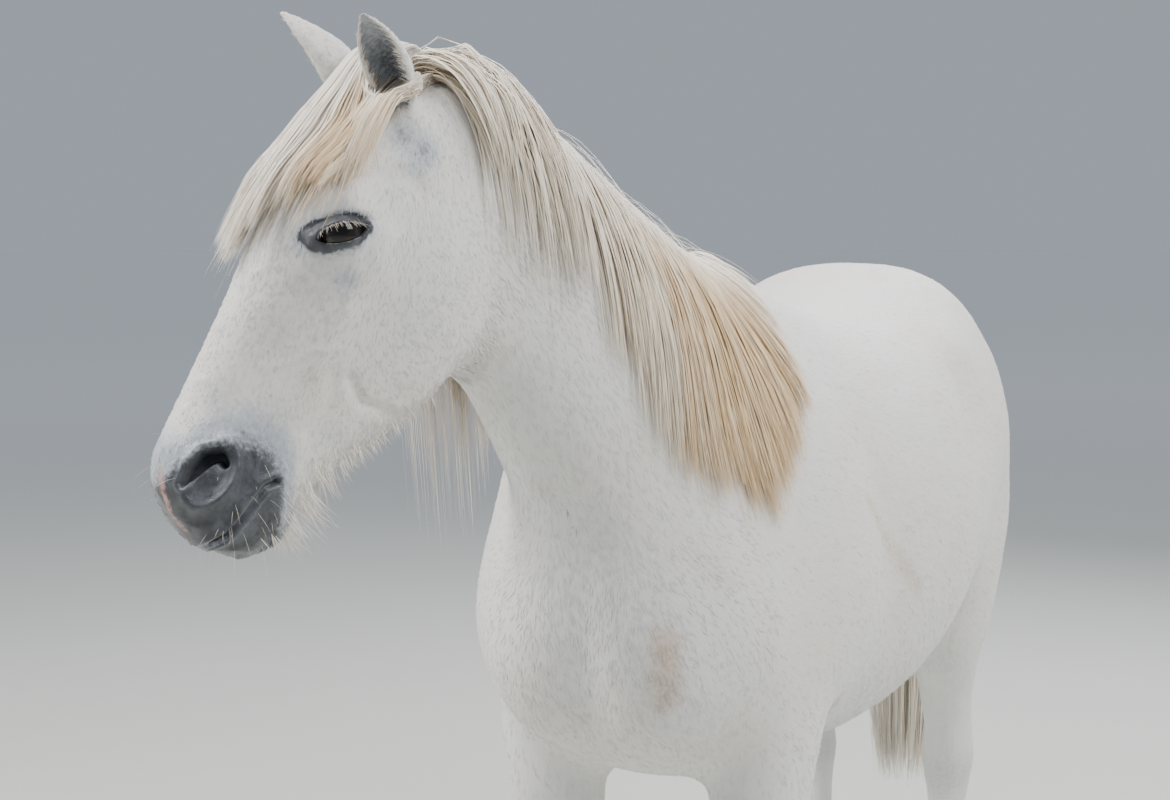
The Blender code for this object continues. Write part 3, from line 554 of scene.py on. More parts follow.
# lids, as a height over the plane across the eye's axis
flat_places, height = in_lid_plane(places), (places - eye_in_head) @ lid_axis
near_eye = (np.hypot(*flat_places.T) < lid_reach) & (height > -0.020) & (height < 0.050)
on_margin = snapped(flat_places, lid_gap)
outside, up = lid_gap(on_margin), on_margin[:, 1]
reach = np.hypot(*on_margin.T)
globe = globe_height(reach)
lid_height = globe + lid_thick + np.where(up > 0, 0.0016, 0.0)
over_lid = 1 - smooth_step(outside, 0.003, 0.015)
wanted = lid_height * over_lid + height * (1 - over_lid)
wanted = np.maximum(wanted, height - 0.010)
wanted += np.where(up > 0, 0.0012, 0.0005) * bell(outside - 0.0016, 0.0018)
wanted -= 0.0022 * bell(outside - 0.0100, 0.0020) * (up > 0)
wanted -= 0.0012 * bell(outside - 0.0092, 0.0022) * (up <= 0)
ball = np.sqrt(np.maximum(eye_radius**2 - reach**2, 0))
wanted = np.where(reach < eye_radius, np.maximum(wanted, ball + 0.0016), wanted)
wanted = np.where(outside < -0.0001, globe - 0.006, wanted)
move = np.where(near_eye, wanted - height, 0)
slide = np.where(near_eye[:, None], on_margin - flat_places, 0)
shift = move[:, None] * lid_axis + slide @ np.array((lid_back, lid_up))

# nostrils, also as a height over their own plane
flat_places, height = in_nostril_plane(places), (places - nostril_middle) @ nostril_axis
near_nostril = (abs(height) < 0.035) & (np.hypot(*flat_places.T) < 0.055)
on_rim = snapped(flat_places, nostril_gap)
to_slit = nostril_gap(on_rim)
across, down = on_rim.T
bowl = np.hypot((across - 0.005) / 0.0230, down / 0.034)
fall = -0.0065 * (1 - smooth_step(bowl, 0.45, 1.0)) - 0.024 * (1 - smooth_step(to_slit, -0.0050, 0.0002))
wing = bell(bowl - 1.12, 0.16) * smooth_step(across + 0.4 * abs(down), -0.004, 0.012)
front_rim = bell(to_slit - 0.0036, 0.0028) * (across < 0.0)
behind_wing = bell(bowl - 1.48, 0.16) * smooth_step(across, 0.0, 0.012)
fall = fall + 0.0052 * wing + 0.0024 * front_rim - 0.0026 * behind_wing
slide = np.where(near_nostril[:, None], on_rim - flat_places, 0)
shift += np.where(near_nostril, fall, 0)[:, None] * nostril_axis
shift += slide @ np.array((nostril_back, nostril_down))

# lips: a groove where they close, full on both sides of it, and the chin below
normals = normals_of(skin.data)
from_mouth = from_line(places, mouth_line)
lips = 0.0026 * bell(from_mouth - 0.0070, 0.0042) - 0.0085 * bell(from_mouth, 0.0024)
lips = lips - 0.0030 * bell(gone(places, mouth_line[0]), 0.005)
shift[:, 0] *= sides
points = points + shift @ head_axes + normals * (lips * (head_share(points) > 0))[:, None]
rough = near_eye * bell(outside, 0.0030) + near_nostril * bell(to_slit, 0.0040)
points = eased(skin.data, points, np.clip(rough + bell(from_mouth, 0.004), 0, 1) * 0.5, 2)
set_points(skin.data, points)

# ---------------------------------------------------------------- skin: the ears
# Each ear is a cup of gristle, rolled to a tube at its root and open to its tip. It grows out of
# a mound on the skull, so it is joined to the hide and its root is eased into it.

# share of the length, half width, depth, wall, half opening in degrees
ear_rows = np.array((
    (0.00, 0.019, 0.019, 0.0090, 8), (0.14, 0.021, 0.021, 0.0070, 20), (0.30, 0.025, 0.024, 0.0055, 40),
    (0.46, 0.0265, 0.025, 0.0045, 58), (0.62, 0.0245, 0.021, 0.0040, 70),
    (0.78, 0.0185, 0.014, 0.0034, 80), (0.90, 0.0110, 0.008, 0.0026, 85),
    (0.97, 0.0052, 0.004, 0.0018, 87), (1.00, 0.0022, 0.0016, 0.0010, 88),
))
ear_steps, ear_arc = 30, 15
# the long hair is laid on the hide without the ears, and then kept clear of them
hide = BVHTree.FromPolygons(
    [tuple(point) for point in points_of(skin.data)], [tuple(p.vertices) for p in skin.data.polygons]
)
bpy.ops.object.select_all(action="DESELECT")
for side in (1, -1):
    root, run, across, faces = ear_frames[side]
    rings = []
    for share in np.linspace(0, 1, ear_steps) ** 0.9:
        wide, deep, wall, opening = (np.interp(share, *ear_rows[:, (0, k)].T) for k in range(1, 5))
        span = math.radians(180 - opening)
        turn = np.linspace(-1, 1, ear_arc)
        ring = []
        for order, scale, reach in ((1, 1.0, span), (-1, max(0.1, 1 - wall / wide), span - 0.05)):
            angle = turn[::order] * reach
            rim = 1 - 0.10 * abs(turn[::order]) ** 6
            ring.append(np.outer(np.sin(angle) * wide * scale * rim, across))
            ring[-1] -= np.outer(np.cos(angle) * deep * scale * rim, faces)
        rings.append(np.concatenate(ring) + ear_middle(side, share))
    around = 2 * ear_arc
    corners = np.concatenate(rings)
    walls = [
        (low + k, low + (k + 1) % around, low + around + (k + 1) % around, low + around + k)
        for low in range(0, around * (ear_steps - 1), around)
        for k in range(around)
    ]
    ends = [tuple(range(around))[::-1], tuple(range(around * (ear_steps - 1), around * ear_steps))]
    mesh = bpy.data.meshes.new("ear")
    mesh.from_pydata([tuple(corner) for corner in corners], [], walls + ends)
    ear = bpy.data.objects.new("ear", mesh)
    bpy.context.scene.collection.objects.link(ear)
    ear.select_set(True)
    bpy.context.view_layer.objects.active = ear
bpy.ops.object.join()
ears = bpy.context.object
bpy.ops.object.mode_set(mode="EDIT")
bpy.ops.mesh.select_all(action="SELECT")
bpy.ops.mesh.normals_make_consistent(inside=False)
bpy.ops.object.mode_set(mode="OBJECT")
change_skin("ears", "BOOLEAN", operation="UNION", solver="MANIFOLD", object=ears)
bpy.data.objects.remove(ears)
points = points_of(skin.data)
near_root = np.zeros(len(points))
for side in (1, -1):
    near_root = np.maximum(near_root, 1 - smooth_step(gone(points, ear_middle(side, 0.22)), 0.022, 0.040))
set_points(skin.data, eased(skin.data, points, near_root, 6))

# ---------------------------------------------------------------- skin: its colours
# An old grey: white hair over slate skin, which shows at muzzle, eyes and inside the ears, and
# thins to blue grey on the face. Earth has stained the chest, the neck and the shoulder.

# by height out of the face: how far down the nose the dark muzzle starts
muzzle_start = (
    (-0.060, 0.530), (-0.035, 0.502), (-0.015, 0.456), (0.010, 0.434), (0.050, 0.432), (0.080, 0.450),
    (0.100, 0.487),
)
# grey patches on both sides of the head, in its own measures: place, radius, strength
grey_patches = (
    ((0.061, 0.226, 0.073), 0.020, 0.75), ((0.078, 0.245, 0.013), 0.020, 0.70),
    ((0.080, 0.216, -0.004), 0.016, 0.45), ((0.050, 0.330, 0.060), 0.045, 0.40),
    ((0.056, 0.400, 0.020), 0.040, 0.50), ((0.062, 0.330, -0.010), 0.040, 0.30),
    ((0.030, 0.400, 0.090), 0.035, 0.35), ((0.050, 0.400, -0.050), 0.025, 0.45),
    ((0.082, 0.130, 0.010), 0.030, 0.40), ((0.074, 0.250, -0.100), 0.050, 0.25),
    ((0.039, 0.355, 0.080), 0.007, 0.60), ((0.036, 0.413, 0.083), 0.008, 0.60),
)
# painted shade below the root of the near ear, on the near side only
shade_below_near_ear = (
    ((0.066, 0.080, 0.010), 0.018, 0.90), ((0.074, 0.084, -0.012), 0.019, 0.88),
    ((0.078, 0.104, -0.008), 0.016, 0.65),
)
temple_stain = (0.080, 0.120, -0.026)
pink_line = ((0.012, 0.495, 0.104), (0.018, 0.520, 0.088), (0.017, 0.547, 0.056))
# stains of earth, in metres: line, radius, strength
stains = (
    (((0.108, -0.537, 1.014), (0.108, -0.535, 0.941)), 0.030, 0.52),
    (((-0.036, -0.580, 1.222), (-0.030, -0.575, 1.200)), 0.020, 0.50),
    (((0.247, -0.157, 1.140), (0.262, -0.070, 1.060), (0.273, 0.018, 0.987)), 0.022, 0.42),
    (((0.208, -0.175, 0.859), (0.212, -0.150, 0.820)), 0.030, 0.50),
    (((0.135, -0.493, 1.106), (0.165, -0.470, 1.080)), 0.030, 0.28),
    (((0.194, -0.443, 1.053), (0.200, -0.430, 0.980)), 0.030, 0.25),
    (((0.080, 0.440, 1.424), (0.060, 0.500, 1.420)), 0.030, 0.30),
    (((-0.150, 0.250, 1.330), (-0.200, 0.330, 1.250)), 0.045, 0.25),
    (((0.200, 0.560, 0.900), (0.190, 0.620, 0.800)), 0.045, 0.35),
    (((-0.200, 0.560, 0.900), (-0.190, 0.620, 0.800)), 0.045, 0.35),
    (((0.130, 0.590, 0.560), (0.130, 0.600, 0.500)), 0.035, 0.40),
    (((-0.130, 0.520, 0.560), (-0.130, 0.530, 0.500)), 0.035, 0.35),
)
dark_specks = (
    ((-0.010, -0.566, 1.167), 0.007), ((-0.003, -0.552, 1.141), 0.009), ((0.263, -0.155, 1.015), 0.004),
)


def ear_place(points, side):
    """Share of the ear's length, half widths from its middle, nearness, and how far on its open side."""
    root, run, across, faces = ear_frames[side]
    height = (points - root) @ run / (run @ run)
    share = np.clip(height, 0, 1)
    beside = points - ear_middle(side, share)
    wide, deep = (np.interp(share, *ear_rows[:, (0, k)].T) for k in (1, 2))
    away = np.hypot(beside @ across / wide, beside @ faces / deep)
    near = smooth_step(height, 0.08, 0.22) * (np.linalg.norm(beside, axis=1) < 0.04)
    return share, away, near, beside @ faces / deep


def markings(points):
    """Shares of dark skin, blue grey, pink and stain on the hide, with painted shade in the ears, below the
    near ear and on the belly.
    """
    true_places = in_head(points)
    places = mirrored(true_places)
    on_head = head_share(points)
    w, u, v = places.T
    past = u - np.interp(v, *np.array(muzzle_start).T)
    dark = smooth_step(past, -0.036, 0.044) * on_head
    dark *= 1 - 0.60 * smooth_step(v, 0.086, 0.106) * (1 - smooth_step(w, 0.020, 0.034))
    cool = 0.9 * smooth_step(past, -0.060, -0.005) * on_head
    pale_lip = bell(from_line(places, mouth_line) - 0.004, 0.0022) * smooth_step(u, 0.520, 0.545)
    dark -= 0.50 * pale_lip * on_head
    flat_places = in_lid_plane(places)
    outside = lid_gap(flat_places)
    by_eye = gone(places, eye_in_head) < 0.055
    front = 0.006 * smooth_step(-flat_places[:, 0], 0.010, 0.028)
    front += 0.0045 * smooth_step(flat_places[:, 1], 0.0, 0.010)
    dark = np.maximum(dark, (1 - smooth_step(outside - front, 0.0025, 0.0120)) * by_eye)
    cool = np.maximum(cool, 0.75 * (1 - smooth_step(outside - front, 0.004, 0.019)) * by_eye)
    for place, radius, strength in grey_patches:
        cool = np.maximum(cool, strength * bell(gone(places, place), radius) * on_head)
    # painted shade below the near ear, as darker skin and blue grey
    for place, radius, strength in shade_below_near_ear:
        away = gone(true_places, place) / radius
        dark = np.maximum(dark, 0.52 * strength * np.exp(-(away**2)))
        cool = np.maximum(cool, strength * np.exp(-(away**2) / 2.5))
    stain = 0.45 * bell(gone(true_places, temple_stain), 0.012)
    for side in (1, -1):
        share, away, near, out = ear_place(points, side)
        inner = (1 - smooth_step(away, 0.84, 0.93)) * near
        # painted shade: the inside of the ear is dark skin, painted darker still deep in the hollow of its
        # lower half
        hollow_shade = (1 - smooth_step(share, 0.45, 0.75)) * (1 - smooth_step(out, -0.95, -0.50))
        tip = smooth_step(share, 0.90, 1.0)
        dark = np.maximum(dark * (1 - near), inner * (0.36 + 0.28 * hollow_shade) * (1 - tip))
        cool = np.maximum(cool * (1 - near), near * np.maximum(0.9 * inner, 0.35))
        stain = np.maximum(stain, 0.35 * near * tip)
    pink = 0.85 * bell(from_line(true_places, pink_line), 0.0060) * on_head
    for line, radius, strength in stains:
        stain = np.maximum(stain, strength * bell(from_line(points, line), radius))
    for place, radius in dark_specks:
        dark = np.maximum(dark, 0.58 * bell(gone(points, place), radius))
    low = points[:, 2]
    joints = bell(low - 0.50, 0.06) + bell(low - 0.16, 0.05)
    cool = np.maximum(cool, 0.45 * joints * (low < 0.75))
    stain = np.maximum(stain, 0.38 * (1 - smooth_step(low, 0.08, 0.20)))
    # painted shade: blue grey in a band along the underside of the belly
    belly_shade = (1 - smooth_step(low, 0.74, 0.86)) * smooth_step(low, 0.62, 0.72)
    cool = np.maximum(cool, 0.30 * (belly_shade * (abs(points[:, 1] - 0.15) < 0.45)))
    return {"dark": np.clip(dark, 0, 1), "cool": cool, "pink": pink, "stain": stain}


neck_lie, trunk_lie, leg_lie = np.array(((0, 0.72, -0.69), (0, 0.94, -0.34), (0, 0.12, -0.99)))
flank_lie = np.array((0, 0.80, -0.60))


def lie_of_coat(points, normals):
    """The way the hair lies: down the nose, back over cheek, neck and trunk, and down the legs."""
    on_head = head_share(points)
    back = (0.75 * smooth_step(-in_head(points)[:, 2], -0.03, 0.10))[:, None]
    head_lie = head_axes[1] * (1 - back) - head_axes[2] * back
    low_side = smooth_step(-points[:, 2], -1.25, -0.85)[:, None]
    side_lie = trunk_lie * (1 - low_side) + flank_lie * low_side
    lie = np.broadcast_to(neck_lie, points.shape)
    parts = [(trunk_share(points), side_lie), (leg_share(points), leg_lie), (on_head, head_lie)]
    parts += [(ear_place(points, side)[2], unit(ear_frames[side][1])) for side in (1, -1)]
    for share, part_lie in parts:
        lie = lie * (1 - share[:, None]) + part_lie * share[:, None]
    return unit(lie - normals * (lie * normals).sum(1, keepdims=True))


def add_fields(mesh, fields):
    for name, values in fields.items():
        kind = "FLOAT_VECTOR" if values.ndim == 2 else "FLOAT"
        layer = mesh.attributes.new(name, kind, "POINT")
        layer.data.foreach_set("vector" if values.ndim == 2 else "value", values.astype(np.float32).ravel())


white_coat = (0.735, 0.725, 0.715, 1)
warm_coat = (0.740, 0.705, 0.655, 1)
blue_grey = (0.385, 0.415, 0.465, 1)
slate_skin = (0.026, 0.029, 0.036, 1)
slate_light = (0.066, 0.072, 0.086, 1)
bare_pink = (0.500, 0.270, 0.235, 1)
earth = (0.520, 0.365, 0.225, 1)


def field(wire, name):
    return wire.node("ShaderNodeAttribute", {"attribute_name": name}, {}, "Fac")


def coat_colour(place, fleck):
    """White, mottled with the colours under it by the shares that the mesh carries."""
    broad = place.noise(5, 3).rising(0.35, 0.70)
    mottle = place.noise(210, 3, 0.62) - 0.5
    colour = broad.mixed(white_coat, warm_coat)
    cool = (field(place, "cool") + mottle * (1.3 * fleck)).rising(0.12, 1.02)
    colour = cool.mixed(colour, blue_grey)
    stain = (field(place, "stain") + mottle * (0.9 * fleck)).rising(0.10, 0.85)
    colour = stain.mixed(colour, earth)
    dark = (field(place, "dark") + mottle * fleck).rising(0.26, 0.78)
    slate = place.noise(55, 4, 0.6).rising(0.38, 0.68).mixed(slate_skin, slate_light)
    colour = dark.mixed(colour, slate)
    pink = (field(place, "pink") + mottle * 1.6).rising(0.28, 1.0)
    return pink.mixed(colour, bare_pink), dark


def drawn(place, way, share=0.93):
    """The place with most of its run along this way taken out, so that a pattern is drawn out along it."""
    run = place.vector("DOT_PRODUCT", place, tuple(way), output="Value")
    back = run.node("ShaderNodeVectorMath", {"operation": "SCALE"}, {0: tuple(way), "Scale": run * -share})
    return place.vector("ADD", place, back)


def coat_fields(points):
    """What the coat's colours read: the markings, and the shares of head, leg and trunk."""
    shares = {"on_head": head_share(points), "on_leg": leg_share(points), "on_trunk": trunk_share(points)}
    return markings(points) | shares


def hair_lines(place, scale):
    """Noise drawn out along the coat's lie on head, neck, trunk and legs, and blended between them."""
    lines = drawn(place, neck_lie).noise(scale, 3, 0.6)
    head_lie = head_axes[1]
    parts = (("trunk", trunk_lie, 0.93, 1), ("leg", leg_lie, 0.93, 1), ("head", head_lie, 0.90, 1.3))
    for name, lie, out, finer in parts:
        share = field(place, f"on_{name}")
        lines = lines * (1 - share) + drawn(place, lie, out).noise(scale * finer, 3, 0.6) * share
    return lines


soft_sheen = (("Sheen Weight", 0.25), ("Sheen Roughness", 0.45))
material, shader, place = new_finish("short coat on skin", 0.60, soft_sheen)
colour, dark = coat_colour(place, 0.62)
fine, coarse = hair_lines(place, 1100), hair_lines(place, 170)
shadow = (fine * 0.6 + coarse * 0.4).rising(0.30, 0.62)
plug(colour.tinted(shadow.mixed((0.90,) * 4, (1, 1, 1, 1))), shader, "Base Color")
plug(dark * -0.24 + 0.64, shader, "Roughness")
pores = place.noise(700, 3, 0.7) * 0.5 + place.noise(190, 2) * 0.5
relief = (fine * 0.5 + coarse * 0.8) * (1 - dark) + pores * dark
plug(bump(relief, 0.0011, 0.8), shader, "Normal")

add_fields(skin.data, coat_fields(points_of(skin.data)))
skin.data.materials.clear()
skin.data.materials.append(material)
skin.data.shade_smooth()
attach(skin, "root")
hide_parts(*flesh_nodes, "ear_left", "ear_right")

# ---------------------------------------------------------------- eyes
# Large dark eyeballs under a wet cornea. The iris is a brown so deep that it looks black, with a
# pupil that lies level, and the ball round it is dark too.

iris_reach, pupil_wide, pupil_high = 0.0150, 0.0088, 0.0052
cornea_rise, under_cornea = 0.0016, 0.0004
for side, end in both_sides:
    bpy.ops.object.select_all(action="DESELECT")
    axis, back = lid_axis * (side, 1, 1) @ head_axes, lid_back * (side, 1, 1) @ head_axes
    bpy.ops.mesh.primitive_uv_sphere_add(segments=72, ring_count=48, radius=eye_radius - under_cornea)
    eyeball = bpy.context.object
    eyeball.name = f"eyeball_{end}"
    turned = np.array((back, np.cross(axis, back), axis)).T
    points = points_of(eyeball.data)
    around = np.hypot(points[:, 0], points[:, 1])
    in_front = points[:, 2] > 0
    points[:, 2] += cornea_rise * np.sqrt(np.clip(1 - (around / iris_reach) ** 2, 0, 1)) * in_front
    in_iris = 1 - smooth_step(around, iris_reach - 0.0012, iris_reach)
    in_pupil = 1 - smooth_step(np.hypot(points[:, 0] / pupil_wide, points[:, 1] / pupil_high), 0.92, 1.08)
    add_fields(eyeball.data, {"iris": in_iris * in_front, "pupil": in_pupil * in_front})
    set_points(eyeball.data, points @ turned.T + eye_middles[side])
    eyeball.data.shade_smooth()
    if side == 1:
        wet = (("Specular IOR Level", 0.15), ("Coat Weight", 0.45), ("Coat Roughness", 0.02))
        material, shader, place = new_finish("wet eye", 0.04, wet)
        spokes = place.noise(420, 4, 0.6).rising(0.30, 0.72)
        iris = spokes.mixed((0.004, 0.003, 0.0025, 1), (0.014, 0.009, 0.006, 1))
        cloudy = place.noise(160, 3).rising(0.35, 0.70)
        ball = cloudy.mixed((0.010, 0.008, 0.007, 1), (0.030, 0.023, 0.020, 1))
        colour = field(place, "iris").mixed(ball, iris)
        plug(field(place, "pupil").mixed(colour, (0.0015, 0.0015, 0.002, 1)), shader, "Base Color")
        plug(bump(place.noise(240, 2), 0.00008, 0.4), shader, "Normal")
    eyeball.data.materials.append(material)
    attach(eyeball, "root")
    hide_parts(f"eye_{end}")

# ---------------------------------------------------------------- hooves
# Four hooves of grey horn, worn flat below and ringed by growth. The wall grows down from under
# the hair of the coronet, so its top runs up inside the pastern.

# height, ahead of the hoof's middle, half width, toe, heel
hoof_rows = np.array((
    (0.000, 0.018, 0.0650, 0.0730, 0.0650), (0.004, 0.018, 0.0660, 0.0740, 0.0660),
    (0.012, 0.017, 0.0655, 0.0725, 0.0655), (0.040, 0.008, 0.0608, 0.0638, 0.0618),
    (0.068, 0.001, 0.0562, 0.0565, 0.0585), (0.080, -0.004, 0.0500, 0.0490, 0.0520),
    (0.100, -0.014, 0.0330, 0.0330, 0.0330),
))
hoof_steps, hoof_sides = 46, 64
ring_swell, rings_on_metre, rings_end = 0.0007 / 0.06, 900, 0.075
pale_zone = (0.070, 0.094)
material, shader, place = new_finish("hoof horn", 0.48)
lines = drawn(place, (0, -0.35, 0.94), 0.94).noise(420, 3, 0.6)
rings = drawn(drawn(place, (1, 0, 0), 0.9), (0, 1, 0), 0.9).noise(230, 3, 0.65)
dark_horn, pale_horn = (0.085, 0.075, 0.066, 1), (0.235, 0.205, 0.170, 1)
horn = (lines * 0.45 + rings * 0.55).rising(0.34, 0.66).mixed(dark_horn, pale_horn)
high = place.node("ShaderNodeSeparateXYZ", {}, {"Vector": place}, "Z")
horn = (high + rings * 0.02).rising(*pale_zone).mixed(horn, (0.340, 0.310, 0.270, 1))
dust = place.noise(60, 4, 0.6).rising(0.50, 0.75) * (1 - high.rising(0.0, 0.045))
plug(dust.mixed(horn, (0.330, 0.270, 0.200, 1)), shader, "Base Color")
plug(rings.rising(0.2, 0.8) * 0.22 + 0.40, shader, "Roughness")
plug(bump(rings * 0.8 + lines * 0.35, 0.0012, 0.8), shader, "Normal")
for leg in ("fore", "hind"):
    for end in ("left", "right"):
        low, high_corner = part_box(f"hoof_{leg}_{end}")
        middle_x = (low.x + high_corner.x) / 2
        middle_y = low.y + hoof_rows[:, 1].max() + hoof_rows[1, 3]
        bpy.ops.object.select_all(action="DESELECT")
        bpy.ops.mesh.primitive_circle_add(vertices=hoof_sides, radius=1, fill_type="NGON")
        hoof = bpy.context.object
        hoof.name = f"horn_{leg}_{end}"
        bpy.ops.object.mode_set(mode="EDIT")
        bpy.ops.mesh.select_all(action="SELECT")
        for step in range(hoof_steps - 1):
            bpy.ops.mesh.extrude_region_move(TRANSFORM_OT_translate={"value": (0, 0, 1)})
        bpy.ops.mesh.select_all(action="SELECT")
        bpy.ops.mesh.normals_make_consistent(inside=False)
        bpy.ops.object.mode_set(mode="OBJECT")
        # the drum of rings is then drawn in to the hoof's outline at each height
        points = points_of(hoof.data)
        height = hoof_rows[-1, 0] * points[:, 2] / (hoof_steps - 1)
        ahead, wide, toe, heel = (np.interp(height, hoof_rows[:, 0], hoof_rows[:, k]) for k in range(1, 5))
        angle = np.arctan2(points[:, 1], points[:, 0])
        outer = np.hypot(points[:, 0], points[:, 1])
        growth = np.sin(height * rings_on_metre + 1.2 * np.sin(angle * 2))
        swell = 1 + ring_swell * growth * (height < rings_end)
        long = np.where(points[:, 1] < 0, toe, heel)
        bulb = 1 - 0.10 * bell(angle - math.pi / 2, 0.22)
        points = np.column_stack((
            middle_x + np.sign(np.cos(angle)) * abs(np.cos(angle)) ** 0.90 * wide * outer * swell,
            middle_y - ahead + np.sin(angle) * long * outer * swell * bulb,
            height,
        ))
        set_points(hoof.data, points)
        hoof.data.materials.append(material)
        hoof.data.shade_smooth()
        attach(hoof, "root")
        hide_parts(f"hoof_{leg}_{end}")

# ---------------------------------------------------------------- short coat: tufts on the hide
# The summer coat is short and lies flat, so most of it is the skin's own relief. Thin tufts lie
# along it all over, closer and longer where the coat breaks the outline of a real horse.

dice = np.random.default_rng(7)


def scattered(mesh_object, count, weight):
    """Points on the hide and their normals, more where the weight is higher."""
    mesh = mesh_object.data
    mesh.calc_loop_triangles()
    corners = read(mesh.loop_triangles, "vertices", 3, np.int32)
    points, normals = points_of(mesh), normals_of(mesh)
    a, b, c = (points[corners[:, k]] for k in range(3))
    area = np.linalg.norm(np.cross(b - a, c - a), axis=1) / 2
    chance = area * weight((a + b + c) / 3, normals[corners].mean(1))
    chosen = dice.choice(len(corners), count, p=chance / chance.sum())
    share = dice.random((count, 2))
    share = np.where(share.sum(1, keepdims=True) > 1, 1 - share, share)
    share = np.column_stack((1 - share.sum(1), share))[:, :, None]
    return (points[corners[chosen]] * share).sum(1), unit((normals[corners[chosen]] * share).sum(1))


def mesh_piece(name, points, quads, triangles, spots, outs, soft):
    """A new mesh object. The spots are each corner's place on its own map for colours.

    Faces that look outwards are shaded by this soft share as the hide or the whole lock would be.
    """
    mesh = bpy.data.meshes.new(name)
    corners = np.concatenate((quads.ravel(), triangles.ravel())).astype(np.int32)
    mesh.vertices.add(len(points))
    mesh.loops.add(len(corners))
    mesh.polygons.add(len(quads) + len(triangles))
    mesh.vertices.foreach_set("co", points.astype(np.float32).ravel())
    mesh.loops.foreach_set("vertex_index", corners)
    starts = np.concatenate((np.arange(len(quads)) * 4, len(quads) * 4 + np.arange(len(triangles)) * 3))
    mesh.polygons.foreach_set("loop_start", starts.astype(np.int32))
    mesh.update(calc_edges=True)
    mesh.validate()
    mesh.uv_layers.new(name="OFBake").data.foreach_set("uv", spots[corners].astype(np.float32).ravel())
    mesh.polygons.foreach_set("use_smooth", np.ones(len(mesh.polygons), bool))
    faces = read(mesh.polygons, "normal", 3)
    faces = np.repeat(faces, read(mesh.polygons, "loop_total", 1, np.int32), axis=0)
    wanted = outs[corners]
    facing = ((wanted * faces).sum(1) > 0.02)[:, None]
    shaded = unit(np.where(facing, wanted * soft + faces * (1 - soft), faces))
    mesh.normals_split_custom_set(shaded.astype(np.float32))
    made = bpy.data.objects.new(name, mesh)
    bpy.context.scene.collection.objects.link(made)
    return made


# how much of the map each tuft or strand takes up, each way
patch = 0.003


def on_map(points, normals):
    """A place on a map for each root: six views of the piece side by side, one for each way it faces."""
    low, size = points.min(0), np.ptp(points, axis=0) + 0.001
    share = (points - low) / size
    axis = abs(normals).argmax(1)
    facing = normals[np.arange(len(points)), axis] > 0
    from_end, from_side = (axis == 1)[:, None], (axis == 0)[:, None]
    flat = np.where(from_side, share[:, 1:], np.where(from_end, share[:, ::2], share[:, :2]))
    spot = np.column_stack((axis, facing)) + 0.01 + flat * 0.98
    return spot / (3, 2) * (1 - patch)


def tufts(name, roots, ways, lies, lengths, half_widths, lifts, fields):
    """Flat leaves of hair: three corners at the root, three at the middle and a tip."""
    count = len(roots)
    across = unit(np.cross(lies, ways))
    bend = dice.normal(0, 0.16, count)[:, None]
    lies = lies + across * bend
    lengths, half_widths, lifts = lengths[:, None], half_widths[:, None], lifts[:, None]
    low = roots - ways * 0.0006
    middle = roots + lies * lengths * 0.45 + ways * lifts * 0.75
    tip = roots + lies * lengths + across * bend * lengths * 0.4 + ways * lifts
    corners = (
        low - across * half_widths * 0.7, low + across * half_widths * 0.7, low + ways * 0.0006,
        middle - across * half_widths, middle + across * half_widths, middle + ways * 0.0004, tip,
    )
    points = np.stack(corners, 1).reshape(-1, 3)
    first = (np.arange(count) * 7)[:, None, None]
    quads = first + np.array(((1, 0, 3, 4), (2, 1, 4, 5), (0, 2, 5, 3)))
    triangles = first + np.array(((0, 1, 2), (4, 3, 6), (5, 4, 6), (3, 5, 6)))
    local = np.array(((0.1, 0), (0.9, 0), (0.5, 0.05), (0, 0.5), (1, 0.5), (0.5, 0.55), (0.5, 1))) * patch
    spots = (on_map(roots, ways)[:, None] + local).reshape(-1, 2)
    outs = np.repeat(ways, 7, axis=0)
    piece = mesh_piece(name, points, quads.reshape(-1, 4), triangles.reshape(-1, 3), spots, outs, 0.88)
    fields = {key: np.repeat(values, 7) for key, values in fields.items()}
    fields["along"] = np.tile((0, 0, 0, 0.5, 0.5, 0.5, 1.0), count)
    add_fields(piece.data, fields)
    return piece


def near_any(points, places):
    """1 near any of these places (place, radius), and 0 away from them."""
    return np.max([bell(gone(points, place), radius) for place, radius in places], axis=0)


# where the coat is longest: jaw and beard, in the head's measures, then chest, elbow, flank and groin
jaw_line = (
    (0.0, 0.10, -0.19), (0.0, 0.22, -0.20), (0.0, 0.33, -0.16), (0.0, 0.44, -0.06), (0.0, 0.51, -0.045),
)
shaggy_places = (
    ((0.0, -0.66, 1.02), 0.12), ((0.12, -0.30, 0.84), 0.10), ((-0.12, -0.30, 0.84), 0.10),
    ((0.0, 0.10, 0.76), 0.30), ((0.20, 0.42, 0.86), 0.12), ((-0.20, 0.42, 0.86), 0.12),
    ((0.0, 0.62, 0.95), 0.16),
)


def shag(points):
    """0 where the coat lies short and flat, 1 where it is longest."""
    under = from_line(in_head(points) * (0.35, 1, 1), jaw_line)
    jaw = (1 - smooth_step(under, 0.015, 0.05)) * head_share(points)
    throat = bell(gone(points, from_head((0, 0.06, -0.20))), 0.09)
    low = points[:, 2]
    legs = np.maximum(bell(low - 0.15, 0.035), bell(low - 0.085, 0.016)) * (low < 0.25)
    return np.clip(0.8 * jaw + 0.8 * throat + 0.7 * near_any(points, shaggy_places) + legs, 0, 1)


# no tufts grow on the hooves, below this height
hair_above = 0.075


def coat_weight(points):
    """How thickly tufts stand: none in eyes and nostrils, and fewer on bare skin."""
    places = mirrored(in_head(points))
    in_eye = (gone(places, eye_in_head) < 0.035) & (lid_gap(in_lid_plane(places)) < 0.003)
    in_nostril = (gone(places, nostril_middle) < 0.05) & (nostril_gap(in_nostril_plane(places)) < 0.004)
    bare = in_eye | in_nostril | (from_line(places, mouth_line) < 0.004) | (points[:, 2] <= hair_above)
    return ~bare * (1 - 0.72 * markings(points)["dark"]) * (1 + 3.0 * shag(points))


